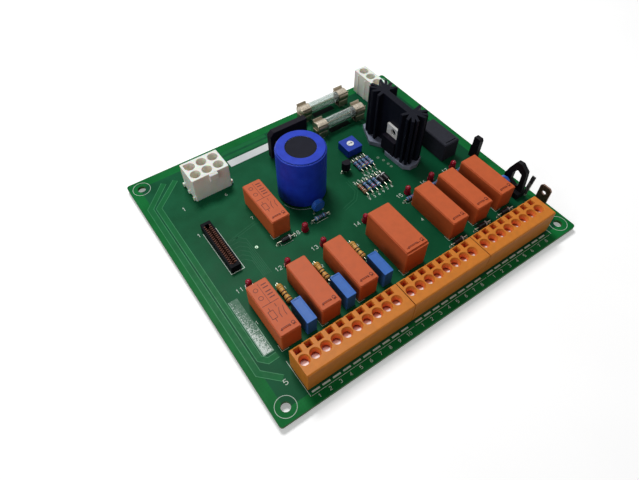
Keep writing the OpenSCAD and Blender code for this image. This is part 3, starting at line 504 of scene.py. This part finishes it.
FINISH = {
    "circuit_board": board_finish(),
    "solder_joints": metal("solder", (196, 198, 202), 0.28),
    "label_strip": moulded("white_label", (208, 212, 212), 0.55, 0.025, 6.0, 0.3, 0.003, 0.05, 1.02),
    "relay_bases": moulded("relay_base_plastic", (92, 34, 22), 0.5, 0.04),
    "signal_relay": moulded("black_plastic", (36, 37, 46), 0.5, 0.08, 2.0, rounded=0.3, edge_highlight=1.35,
                            Specular_IOR_Level=0.1),
    "power_header": header_finish(),
    "header_pins": metal("header_contact", (206, 196, 170), 0.28),
    "ribbon_socket": ribbon_finish(),
    "cable_clip": moulded("clip_black", (16, 15, 19), 0.5, rounded=0.2, edge_highlight=1.4,
                          Specular_IOR_Level=0.08),
    "ribbon_contacts": moulded("bronze_contact", (112, 76, 64), 0.35, 0.1, 0.6, rounded=0.05, edge_highlight=1.1,
                               Metallic=0.2),
    "capacitor_can": metal("can_aluminium", (190, 192, 196), 0.35),
    "capacitor_sleeve": sleeve_finish(),
    "capacitor_disc": moulded("vent_disc", (30, 31, 40), 0.6, 0.06, 3.0, 0.2, 0.006, 0.2, 1.2,
                               Specular_IOR_Level=0.05),
    "bridge_rectifier": moulded("black_epoxy", (18, 15, 25), 0.5, 0.08, 2.0, 0.15, 0.008, 0.3, 1.7,
                                Specular_IOR_Level=0.08),
    "fuse_clips": metal("fuse_clip_metal", (150, 140, 122), 0.36),
    "fuse_tubes": glass_finish(),
    "fuse_caps": metal("fuse_cap_metal", (176, 166, 150), 0.3),
    "fuse_wires": metal("fuse_wire", (186, 150, 110), 0.3),
    "trimmer_body": moulded("trimmer_plastic", (28, 60, 168), 0.36, edge_highlight=1.2),
    "trimmer_rotor": moulded("rotor_plastic", (236, 238, 240), 0.4, 0.03, edge_highlight=1.02),
    "heatsink": fins_finish(),
    "heatsink_base": moulded("grey_foot", (118, 124, 142), 0.4, 0.08, 5.0, rounded=0.5, edge_highlight=1.25,
                             Specular_IOR_Level=0.35),
    "regulator_frame": moulded("regulator_metal", (232, 232, 230), 0.4, 0.06, 1.5, rounded=0.15, edge_highlight=1.04,
                               Metallic=0.1),
    "film_capacitors": moulded("film_capacitor", (50, 104, 184), 0.42, 0.03, 2.0, rounded=0.3, edge_highlight=1.15),
    "disc_capacitors": moulded("disc_coating", (40, 96, 186), 0.3, 0.1, 1.5, rounded=0.2, edge_highlight=1.2),
    "leds": led_finish(),
    "load_resistors": moulded("load_resistor", (216, 164, 84), 0.42, 0.05, 1.0, rounded=0),
    "signal_resistors": signal_resistor_finish(),
    "diodes": moulded("diode_black", (22, 20, 24), 0.36, rounded=0.1, edge_highlight=1.6),
    "earth_tab": metal("earth_blade", (120, 96, 84), 0.42),
    "edge_pin": pin_finish(),
}
FINISH["side_header"] = FINISH["power_header"]
FINISH["regulator_body"] = FINISH["transistor"] = FINISH["bridge_rectifier"]
FINISH["tie_post"] = FINISH["cable_clip"]
orange = pole_finish()
tinned = metal("tinned_wire", (176, 172, 156), 0.34)
bright_contact = metal("tinned_contact", (226, 222, 214), 0.2)
spring = spring_finish()
relay_skin = moulded("relay_plastic", (195, 91, 47), 0.5, 0.025, 3.0, 0.15, 0.004, 0.25, 1.12, drift=0.02)
for side in POLES:
    FINISH["terminal_block_" + side] = orange
    FINISH["terminal_contacts_" + side] = bright_contact
    FINISH["terminal_springs_" + side] = spring
for node in RELAYS:
    FINISH[node] = relay_skin
for node in ("relay_pins", "signal_relay_pins", "capacitor_pins", "bridge_leads", "trimmer_pins",
             "axial_leads", "radial_leads"):
    FINISH[node] = tinned
for node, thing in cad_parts.items():
    thing.data.materials.clear()
    thing.data.materials.append(FINISH[node])


# Thin printed and etched shapes

# Stroke paths of the ten digits in a box one wide and 1.6 high
DIGITS = {
    "0": [[(0, .3), (.3, 0), (.7, 0), (1, .3), (1, 1.3), (.7, 1.6), (.3, 1.6), (0, 1.3), (0, .3)]],
    "1": [[(.2, 1.2), (.55, 1.6), (.55, 0)]],
    "2": [[(0, 1.3), (.3, 1.6), (.7, 1.6), (1, 1.3), (1, 1), (0, 0), (1, 0)]],
    "3": [[(0, 1.4), (.3, 1.6), (.7, 1.6), (1, 1.3), (1, 1), (.7, .8), (1, .6), (1, .3), (.7, 0),
           (.3, 0), (0, .2)]],
    "4": [[(.75, 0), (.75, 1.6), (0, .5), (1, .5)]],
    "5": [[(1, 1.6), (.1, 1.6), (0, .9), (.6, 1), (1, .7), (1, .3), (.7, 0), (.3, 0), (0, .2)]],
    "6": [[(.9, 1.6), (.4, 1.4), (0, .8), (0, .3), (.3, 0), (.7, 0), (1, .3), (1, .6), (.7, .9),
           (.3, .9), (0, .6)]],
    "7": [[(0, 1.6), (1, 1.6), (.4, 0)]],
    "8": [[(.5, .85), (.1, 1.1), (.1, 1.35), (.35, 1.6), (.65, 1.6), (.9, 1.35), (.9, 1.1),
           (.5, .85), (0, .55), (0, .25), (.3, 0), (.7, 0), (1, .25), (1, .55), (.5, .85)]],
    "9": [[(.1, 0), (.6, .2), (1, .8), (1, 1.3), (.7, 1.6), (.3, 1.6), (0, 1.3), (0, 1),
           (.3, .7), (.7, .7), (1, 1)]],
}
DIGIT_HEIGHT, DIGIT_STEP = 1.6, 1.45


def publish(name, mesh, material, smooth=False):
    """Turn a gathered mesh into a piece that rides on the board."""
    bmesh.ops.recalc_face_normals(mesh, faces=mesh.faces)
    data = bpy.data.meshes.new(name)
    mesh.to_mesh(data)
    mesh.free()
    for face in data.polygons:
        face.use_smooth = smooth
    data.materials.append(material)
    made = bpy.data.objects.new(name, data)
    bpy.context.scene.collection.objects.link(made)
    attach(made, "board")


def mitre(points, i, closed=False):
    """The sideways direction at point i of a path, and the cosine by which the corner leans it."""
    turns = []
    if i or closed:
        turns.append((points[i] - points[i - 1]).normalized())
    if i < len(points) - 1 or closed:
        turns.append((points[(i + 1) % len(points)] - points[i]).normalized())
    along = sum(turns, Vector((0, 0))).normalized()
    normal = Vector((-along.y, along.x))
    return normal, normal.dot(Vector((-turns[0].y, turns[0].x)))


class Layer:
    """Thin closed shapes on a level face, gathered into one piece and drawn in board millimetres."""

    SUNK = 0.01 * MM  # below the face, so that nothing hangs above it
    SHARPEST = 0.4  # limit on the mitre of a sharp corner
    ARC_STEP = 6  # degrees

    def __init__(self, name, level, thick_mm=0.03, facing=1):
        self.name = name
        self.thick = thick_mm * MM
        self.facing = facing
        self.mesh = bmesh.new()
        self.lie_on(level)

    def lie_on(self, level):
        """Put the next shapes on the face at that level."""
        self.low = level - self.SUNK * self.facing
        self.high = level + self.thick * self.facing

    def point(self, x, y, z):
        return self.mesh.verts.new((BOARD_LOW.x + x * MM, BOARD_LOW.y + y * MM, z))

    def strip(self, left, right, closed=False):
        """A closed body between two rows of points."""
        rows = []
        for level in (self.low, self.high):
            rows.append([[self.point(x, y, level) for x, y in side] for side in (left, right)])
        (l0, r0), (l1, r1) = rows
        count = len(left)
        last = count if closed else count - 1
        for i in range(last):
            j = (i + 1) % count
            for quad in ((l1[i], r1[i], r1[j], l1[j]), (l0[i], l0[j], r0[j], r0[i]),
                         (l0[i], l1[i], l1[j], l0[j]), (r0[i], r0[j], r1[j], r1[i])):
                self.mesh.faces.new(quad)
        if not closed:
            self.mesh.faces.new((l0[0], r0[0], r1[0], l1[0]))
            self.mesh.faces.new((l0[-1], l1[-1], r1[-1], r0[-1]))

    def band(self, points, width, closed=False):
        """A mitred band along points."""
        points = [Vector(p) for p in points]
        left, right = [], []
        for i, p in enumerate(points):
            normal, lean = mitre(points, i, closed)
            reach = width / 2 / max(self.SHARPEST, lean)
            left.append(p + normal * reach)
            right.append(p - normal * reach)
        self.strip(left, right, closed)

    def sides(self, points, width, line):
        """Two thin bands, line wide, along the inner edges of a band."""
        points = [Vector(p) for p in points]
        for shift in (-0.5, 0.5):
            row = []
            for i, p in enumerate(points):
                normal, lean = mitre(points, i)
                row.append(p + normal * (shift * (width - line) / lean))
            self.band(row, line)

    def arc(self, centre, radius, start, end, width):
        steps = max(3, int(abs(end - start) / self.ARC_STEP))
        angles = [math.radians(start + (end - start) * i / steps) for i in range(steps + 1)]
        self.band([(centre[0] + radius * math.cos(a), centre[1] + radius * math.sin(a)) for a in angles],
                  width)

    def ring(self, centre, outer, inner, steps=24):
        angles = [2 * math.pi * i / steps for i in range(steps)]
        rows = [[(centre[0] + r * math.cos(a), centre[1] + r * math.sin(a)) for a in angles]
                for r in (outer, inner)]
        self.strip(rows[0], rows[1], closed=True)

    def box(self, low, high):
        middle = (low[1] + high[1]) / 2
        self.band([(low[0], middle), (high[0], middle)], high[1] - low[1])

    def outline(self, low, high, width):
        self.band([low, (high[0], low[1]), high, (low[0], high[1])], width, closed=True)

    def number(self, text, at, height, width):
        """Digits whose lower left corner is at, in lines of that width."""
        scale = height / DIGIT_HEIGHT
        for i, digit in enumerate(text):
            for path in DIGITS[digit]:
                self.band([(at[0] + (x + i * DIGIT_STEP) * scale, at[1] + y * scale) for x, y in path], width)

    def piece(self, material, slot):
        publish(self.name, self.mesh, material)


# Tracks on the top face, as paths and widths in board millimetres

# Heights of the layers above the board, unlike where two layers cross
TRACK, EDGE, STRIP, FAINT, PLATE, PRINT, PAD = 0.04, 0.05, 0.06, 0.03, 0.04, 0.05, 0.04
OUTER_TRACKS = (([(17, 141.2), (4.1, 128.4), (4.1, 23.6), (11.4, 16.2)], 3.0),
                ([(23, 139.9), (7.85, 126.6), (7.85, 28.6), (10.4, 25.9), (15, 26.1)], 2.9))
STRIP_X, STRIP_NEAR, STRIP_FAR, STRIP_WIDTH = 12.25, 28.9, 58.8, 4.2
RIM_LEFT, RIM_RIGHT, RIM_NEAR, RIM_STOP = 9.9, 14.6, 28.65, 44
FINE_LINE = 0.3
LINK_TRACKS = ([(96, 88), (96, 80), (92, 76), (84, 74)],
               [(97.4, 88), (97.4, 79.4), (92.8, 74.6), (84, 72.4)])

track_mask = mask_finish("track_mask", (18, 100, 54), 0.05)
# The two lighter finishes are painted highlights: pale lines where the edges of the tracks and of the tinned
# strip catch the light.
track_highlight_mask = mask_finish("track_edge", (52, 130, 84), 0.1)
faint_mask = mask_finish("faint_track", (28, 94, 62), 0.06)
strip_highlight_mask = mask_finish("strip_edge", (132, 176, 152), 0.2)

tracks = Layer("outer_tracks", TOP, TRACK)
edges = Layer("track_edges", TOP, EDGE)
for path, width in OUTER_TRACKS:
    tracks.band(path, width)
    # Painted highlights along both edges of each track.
    edges.sides(path, width, FINE_LINE)
tracks.piece(track_mask, "board_laminate")
edges.piece(track_highlight_mask, "board_laminate")

strip = Layer("tinned_strip", TOP, STRIP)
strip.band([(STRIP_X, STRIP_NEAR), (STRIP_X, STRIP_FAR)], STRIP_WIDTH)
strip.piece(tinned_finish(), "board_laminate")
# Painted highlight: a pale line along the left side and round the near end of the tinned strip.
strip_rim = Layer("strip_rim", TOP, EDGE)
strip_rim.band([(RIM_LEFT, STRIP_FAR), (RIM_LEFT, RIM_NEAR), (RIM_RIGHT, RIM_NEAR), (RIM_RIGHT, RIM_STOP)],
               0.24)
strip_rim.piece(strip_highlight_mask, "board_laminate")

faint = Layer("faint_tracks", TOP, FAINT)
x0, y0, x1, y1 = plan("ribbon_socket")
relay_left = plan("relay_cover_7")[0]
middle = (y0 + y1) / 2
for shift in (0, 1.3):
    faint.band([(x1 + 0.6, middle + shift), (relay_left - 2, middle + 4 + shift)], FINE_LINE)
for i in range(6):
    y = y0 + 4 + 2.54 * i
    faint.band([(x1 + 0.5, y), (x1 + 3 + 0.8 * i, y), (x1 + 6 + 0.8 * i, y - 3), (x1 + 6 + 0.8 * i, 62)],
               0.35)
for low, high in solids("fuse_clips"):
    x, y = middle_of(low, high)
    faint.band([(x, y - 2.5), (x, y - 6.5), (x - 3, y - 9.5)], 2.0)
for path in LINK_TRACKS:
    faint.band(path, FINE_LINE)
faint.piece(faint_mask, "board_laminate")

rear = Layer("rear_tracks", TOP, TRACK)
for y in (139.4, 143.2):
    rear.band([(44, y), (80, y)], 2.4)
rear.piece(track_mask, "board_laminate")


# Print on the board: dark fields below the fuses, then white lines, rings and plain numbers

plate_ink = moulded("print_plate", (6, 8, 8), 0.6, 0.1, 1.0, rounded=0, Specular_IOR_Level=0.03)
plates = Layer("fuse_plates", TOP, PLATE)
for low, high in solids("fuse_tubes"):
    x0, y0, x1, y1 = span(low, high)
    plates.box((x0 + 8.5, y0 + 0.6), (x1 - 8.5, y1 - 1.6))
plates.piece(plate_ink, "black_epoxy")

HAIR, THIN, LINE, WIDE = 0.16, 0.2, 0.22, 0.26  # widths of lines
HOLE_INSET = 6
RING_OUTER, RING_INNER, RING_STEPS = 4.55, 4.35, 56
BAR_Y, BAR_HALF, BAR_WIDTH = 5.0, 1.9, 0.75
EDGE_LINE_Y, POLE_NUMBER_Y = 3.7, 1.4
FIRST_LED, LED_ROW = 11, 5 * MM

ink = moulded("print_white", (196, 210, 200), 0.55, 0.06, 0.6, 0.12, 0.003, 0, 1.0)
silk = Layer("board_print", TOP, PRINT)
for hole_x in (HOLE_INSET, BOARD_W - HOLE_INSET):
    for hole_y in (HOLE_INSET, BOARD_D - HOLE_INSET):
        silk.ring((hole_x, hole_y), RING_OUTER, RING_INNER, RING_STEPS)

for side, poles in POLES.items():
    x0, y0, x1, y1 = plan("terminal_block_" + side)
    contacts = sorted((low.x + high.x) / 2 for low, high in solids("terminal_contacts_" + side))
    first = (contacts[0] - BOARD_LOW.x) / MM
    pitch = (contacts[-1] - contacts[0]) / MM / (poles - 1)
    for k in range(poles):
        centre = first + k * pitch
        silk.band([(centre - BAR_HALF, BAR_Y), (centre + BAR_HALF, BAR_Y)], BAR_WIDTH)
        digits = str(k + 1)
        silk.number(digits, (centre - 0.5 * len(digits), POLE_NUMBER_Y), 1.5, LINE)
    silk.band([(x0, EDGE_LINE_Y), (x1 - 0.4, EDGE_LINE_Y)], HAIR)
    if side == "left":
        silk.band([(16.2, EDGE_LINE_Y), (16.2, 21.6)], THIN)
        silk.number("5", (10.6, 13.2), 2.2, 0.28)
    if side == "right":
        silk.band([(x1 + 0.7, EDGE_LINE_Y), (x1 + 0.7, 6.4)], THIN)

for number, (low, high) in enumerate(by_rows("leds", LED_ROW), FIRST_LED):
    x, y = middle_of(low, high)
    silk.number(str(number), (x - 6.2, y - 0.4), 2.1, WIDE)

for number, name in enumerate(RELAYS, 1):
    x0, y0, x1, y1 = plan(name)
    silk.number(str(number), (x0 - 2.6, y1 - 12), 1.7, LINE)
    silk.band([(x0 - 0.4, y0 + 3), (x0 - 0.4, y0 - 0.4), (x0 + 3, y0 - 0.4)], HAIR)

x0, y0, x1, y1 = plan("ribbon_socket")
silk.band([(x0 - 0.5, y1 - 2.8), (x0 - 0.5, y0 - 0.4), (x1 + 1.05, y0 - 0.4), (x1 + 1.05, y1 - 2.8)], 0.34)
silk.number("1", (x0 - 3.2, y1 - 3.6), 2.2, WIDE)
x0, y0, x1, y1 = plan("power_header")
silk.number("1", (x0 - 7.5, y0 - 0.8), 2.4, 0.28)
silk.number("6", (x1 - 7.5, y0 - 3.6), 1.7, LINE)
x0, y0, x1, y1 = plan("capacitor_sleeve")
silk.arc(((x0 + x1) / 2, (y0 + y1) / 2), 13.3, 195, 290, THIN)
silk.number("3", (x0 - 3.4, y0 + 1.5), 1.7, LINE)
for node in ("load_resistors", "film_capacitors"):
    for number, (low, high) in enumerate(from_left(node), 1):
        x, y = board_place(high)
        silk.number(str(number), (x + 0.5, y - 2.6), 1.5, THIN)
for node in ("signal_resistors", "diodes"):
    for low, high in solids(node):
        x0, y0, x1, y1 = span(low, high)
        if x1 - x0 < y1 - y0:
            silk.number(str(1 + int(x0) % 9), (x0 + 0.4, y0 - 4.4), 1.3, LINE)
            silk.number(str(1 + int(x1) % 9), (x0 + 0.4, y1 + 2.6), 1.3, LINE)
        else:
            silk.band([(x0 - 0.9, y0 - 0.2), (x0 - 0.9, y1 + 0.2)], HAIR)
            silk.band([(x0 - 0.2, y0 - 0.5), (x1 + 0.2, y0 - 0.5)], HAIR)
silk.piece(ink, "white_label")


# Tinned pads around the leads on the top face, and a few that carry nothing

PAD_COVER, PAD_STEPS = 0.85, 16
SPARE_PADS = ((121.3, 92.7), (122.6, 89.4), (122.9, 85.8), (123, 83.4), (35.8, 78.1))

pads = Layer("top_pads", TOP, PAD)
for low, high in solids("solder_joints"):
    radius = (high.x - low.x) / 2 / MM * PAD_COVER
    pads.ring(middle_of(low, high), radius, radius * 0.5, PAD_STEPS)
for at in SPARE_PADS:
    pads.ring(at, 0.8, 0.3, PAD_STEPS)
pads.piece(metal("pad_tin", (116, 134, 118), 0.42), "solder")


# Wide tracks on the underside

SUPPLY_TRACKS = (([(60, 96), (60, 142), (140, 142), (146, 136)], 4.0),
                 ([(66, 96), (66, 136), (116, 136), (122, 130)], 3.0),
                 ([(6, 12), (6, 138), (12, 144), (50, 144)], 3.0),
                 ([(10.5, 20), (10.5, 132), (16, 138), (44, 138)], 2.0),
                 ([(165, 22), (165, 138), (160, 144), (149, 144)], 3.0),
                 ([(12, 2.6), (158, 2.6)], 2.6))

under = Layer("under_tracks", UNDERSIDE, TRACK, facing=-1)
for side in POLES:
    for k, (low, high) in enumerate(from_left("terminal_contacts_" + side)):
        x, y = middle_of(low, high)
        reach = 5 + 2.2 * (k % 4)
        under.band([(x, y), (x, y + reach), (x + 2.2, y + reach + 2.2), (x + 2.2, y + reach + 8)], 1.8)
for name in RELAYS:
    x0, y0, x1, y1 = plan(name)
    under.band([(x0 + 2.4, y0 + 3), (x0 + 2.4, y1 - 6)], 1.6)
    under.band([(x1 - 2.4, y0 + 3), (x1 - 2.4, y1 - 6), ((x0 + x1) / 2, y1 - 2)], 1.6)
for path, width in SUPPLY_TRACKS:
    under.band(path, width)
under.piece(track_mask, "board_laminate")


# Marks on the relays: a bent line and a ring on each, and a contact diagram on two

MARK_LINE = 0.25
# Paths in parts of the cover's width and depth, and the width of the line in millimetres
DIAGRAM = (([(0.28, 0.24), (0.28, 0.30)], MARK_LINE),
           ([(0.28, 0.44), (0.28, 0.50)], MARK_LINE),
           ([(0.55, 0.26), (0.55, 0.34), (0.66, 0.43)], MARK_LINE),
           ([(0.62, 0.46), (0.62, 0.52)], MARK_LINE),
           ([(0.78, 0.26), (0.78, 0.34), (0.86, 0.43)], MARK_LINE),
           ([(0.10, 0.56), (0.90, 0.56)], MARK_LINE),
           ([(0.50, 0.56), (0.50, 0.95)], 0.18))

relay_ink = moulded("print_dark", (96, 34, 24), 0.5, 0.1, 0.6, rounded=0)
marks = Layer("relay_marks", 0)
for name in RELAYS:
    marks.lie_on(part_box(name)[1].z)
    x0, y0, x1, y1 = plan(name)
    left, right = x0 + 0.22 * (x1 - x0), x0 + 0.62 * (x1 - x0)
    marks.band([(left, y0 + 1.9), (left, y0 + 3.1), (right, y0 + 3.1), (right, y0 + 2.2)], 0.3)
    marks.ring((x1 - 2.0, y0 + 3.1), 0.85, 0.55)
marks.piece(relay_ink, "relay_plastic")


def draw_diagram(name):
    """A plain contact diagram on one relay's cover."""
    x0, y0, x1, y1 = plan(name)
    mark = Layer(name + "_diagram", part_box(name)[1].z)

    def spot(u, v):
        return x0 + u * (x1 - x0), y0 + v * (y1 - y0)

    mark.outline(spot(0.16, 0.30), spot(0.40, 0.44), MARK_LINE)
    for path, width in DIAGRAM:
        mark.band([spot(u, v) for u, v in path], width)
    for v in (0.70, 0.86):
        mark.ring(spot(0.28, v), 1.1, 0.85)
    for v in (0.64, 0.70, 0.76, 0.84, 0.90):
        mark.band([spot(0.60, v), spot(0.86, v)], 0.5)
    mark.piece(relay_ink, "relay_plastic")


for name in ("relay_cover_1", "relay_cover_7"):
    draw_diagram(name)


# Colour bands of the resistors and diodes

class Bands:
    """Short rings around lying bodies, gathered into one piece."""

    WALL = 0.06 * MM
    STEPS = 24

    def __init__(self, name):
        self.name = name
        self.mesh = bmesh.new()

    def ring(self, centre, axis, radius, width):
        inside = radius - self.WALL
        rows = []
        for r, shift in ((radius, -0.5), (radius, 0.5), (inside, 0.5), (inside, -0.5)):
            row = []
            for i in range(self.STEPS):
                a = 2 * math.pi * i / self.STEPS
                across, up = r * math.cos(a), r * math.sin(a)
                along = shift * width
                offset = (along, across, up) if axis == 0 else (across, along, up)
                row.append(self.mesh.verts.new(centre + Vector(offset)))
            rows.append(row)
        for k in range(4):
            a, b = rows[k], rows[(k + 1) % 4]
            for i in range(self.STEPS):
                j = (i + 1) % self.STEPS
                self.mesh.faces.new((a[i], a[j], b[j], b[i]))

    def piece(self, material, slot):
        publish(self.name, self.mesh, material, smooth=True)


BAND_COLOURS = {
    "brown": (96, 52, 30), "black": (24, 22, 24), "gold": (176, 138, 60), "red": (150, 40, 34),
    "grey": (196, 198, 198), "violet": (92, 60, 120), "yellow": (206, 178, 50),
}
CODES = (("brown", "black", "red"), ("yellow", "violet", "brown"), ("red", "red", "black"),
         ("grey", "brown", "brown"))
WAIST = 0.84  # radius of a resistor between its ends, as a part of the radius there
bands = {name: Bands("bands_" + name) for name in BAND_COLOURS}


def paint_bands(node, code, swell=0.03):
    """Rings round each body: code gives its (part of the length, width mm, colour, on an end)."""
    for order, (low, high) in enumerate(by_rows(node, MM)):
        size = high - low
        axis = 0 if size.x > size.y else 1
        for part, width, colour, on_end in code(order):
            centre = (low + high) / 2
            centre[axis] = low[axis] + size[axis] * part
            radius = size.z / 2 * (1.0 if on_end else WAIST) + swell * MM
            bands[colour].ring(centre, axis, radius, width * MM)


def load_code(order):
    """The same four bands on each load resistor."""
    return ((0.13, 0.7, "brown", True), (0.38, 0.7, "black", False), (0.55, 0.7, "brown", False),
            (0.87, 0.7, "gold", True))


def signal_code(order):
    """Five bands, in one of four codes in turn."""
    first, second, third = CODES[order % len(CODES)]
    return ((0.12, 0.5, first, True), (0.36, 0.45, second, False), (0.5, 0.45, third, False),
            (0.64, 0.45, "black", False), (0.88, 0.5, "brown", True))


def diode_code(order):
    """One grey band at the cathode of each diode."""
    return ((0.84, 0.7, "grey", True),)


paint_bands("load_resistors", load_code)
paint_bands("signal_resistors", signal_code)
paint_bands("diodes", diode_code, swell=0.02)
for name, colour in BAND_COLOURS.items():
    bands[name].piece(moulded("band_" + name, colour, 0.35, 0.1, 0.5, rounded=0), "signal_resistor")


# Floor, light and camera

AMBIENT = 0.2
FLOOR_SIZE, FLOOR_GAP, FLOOR_GLOW = 6, 0.05 * MM, 0.3
CAMERA_PLACE = (-0.1081835, -0.1314784, 0.1968610)
CAMERA_TURN = (37.17998798, -0.20959537, -34.93073891)  # degrees
CAMERA_LENS, SENSOR_WIDTH = 28.80, 36
SHOWN_RAYS = ("Is Camera Ray", "Is Glossy Ray", "Is Transmission Ray")


def stage_floor():
    """A pale floor that reads white, keeps the shadow and lifts the object little."""
    g = Graph("floor_white")
    path = g.node("ShaderNodeLightPath")
    camera_ray, glossy_ray, glass_ray = (path.outputs[name] for name in SHOWN_RAYS)
    seen = g.math("MAXIMUM", camera_ray, g.math("MAXIMUM", glossy_ray, glass_ray))
    pale = g.mix(g.cloud(60.0), (0.93, 0.93, 0.93, 1), (0.95, 0.95, 0.95, 1))
    g.feed(g.shader.inputs["Emission Color"], pale)
    g.feed(g.shader.inputs["Emission Strength"], g.math("MULTIPLY", seen, FLOOR_GLOW))
    g.finish(g.mix(seen, linear((150, 150, 150)), pale), 0.9, Specular_IOR_Level=0.0)
    bpy.ops.mesh.primitive_plane_add(size=FLOOR_SIZE, location=(0, 0, cad_box[0].z - FLOOR_GAP))
    made = bpy.context.object
    made.name = "floor"
    made.data.materials.append(g.material)


def light_world():
    """White to the rays that show it, and AMBIENT to the surfaces."""
    world = bpy.data.worlds.new("studio")
    bpy.context.scene.world = world
    world.use_nodes = True
    tree = world.node_tree
    tree.nodes.clear()
    path = tree.nodes.new("ShaderNodeLightPath")
    shown = path.outputs[SHOWN_RAYS[0]]
    for name in SHOWN_RAYS[1:]:
        either = tree.nodes.new("ShaderNodeMath")
        either.operation = "MAXIMUM"
        tree.links.new(shown, either.inputs[0])
        tree.links.new(path.outputs[name], either.inputs[1])
        shown = either.outputs[0]
    strength = tree.nodes.new("ShaderNodeMapRange")
    strength.inputs["To Min"].default_value = AMBIENT
    strength.inputs["To Max"].default_value = 1.0
    tree.links.new(shown, strength.inputs["Value"])
    background = tree.nodes.new("ShaderNodeBackground")
    background.inputs["Color"].default_value = (1, 1, 1, 1)
    tree.links.new(strength.outputs["Result"], background.inputs["Strength"])
    output = tree.nodes.new("ShaderNodeOutputWorld")
    tree.links.new(background.outputs[0], output.inputs[0])


def lamp(name, location, size, watts):
    """A square lamp that points at the middle of the board."""
    data = bpy.data.lights.new(name, "AREA")
    data.shape = "RECTANGLE"
    data.size = data.size_y = size
    data.energy = watts
    made = bpy.data.objects.new(name, data)
    made.location = location
    made.rotation_euler = (-Vector(location)).to_track_quat("-Z", "Y").to_euler()
    bpy.context.scene.collection.objects.link(made)


def place_camera():
    camera = bpy.data.cameras.new("camera")
    camera.sensor_width = SENSOR_WIDTH
    camera.lens = CAMERA_LENS
    camera.clip_start = 0.01
    view = bpy.data.objects.new("camera", camera)
    view.location = CAMERA_PLACE
    view.rotation_euler = Euler([math.radians(a) for a in CAMERA_TURN], "XYZ")
    bpy.context.scene.collection.objects.link(view)
    bpy.context.scene.camera = view


stage_floor()
light_world()
lamp("key", (0.04, 0.33, 0.70), 0.2, 4.0)
lamp("fill", (-0.76, -0.20, 0.36), 0.5, 1.7)
place_camera()
bpy.context.scene.view_settings.view_transform = "Standard"
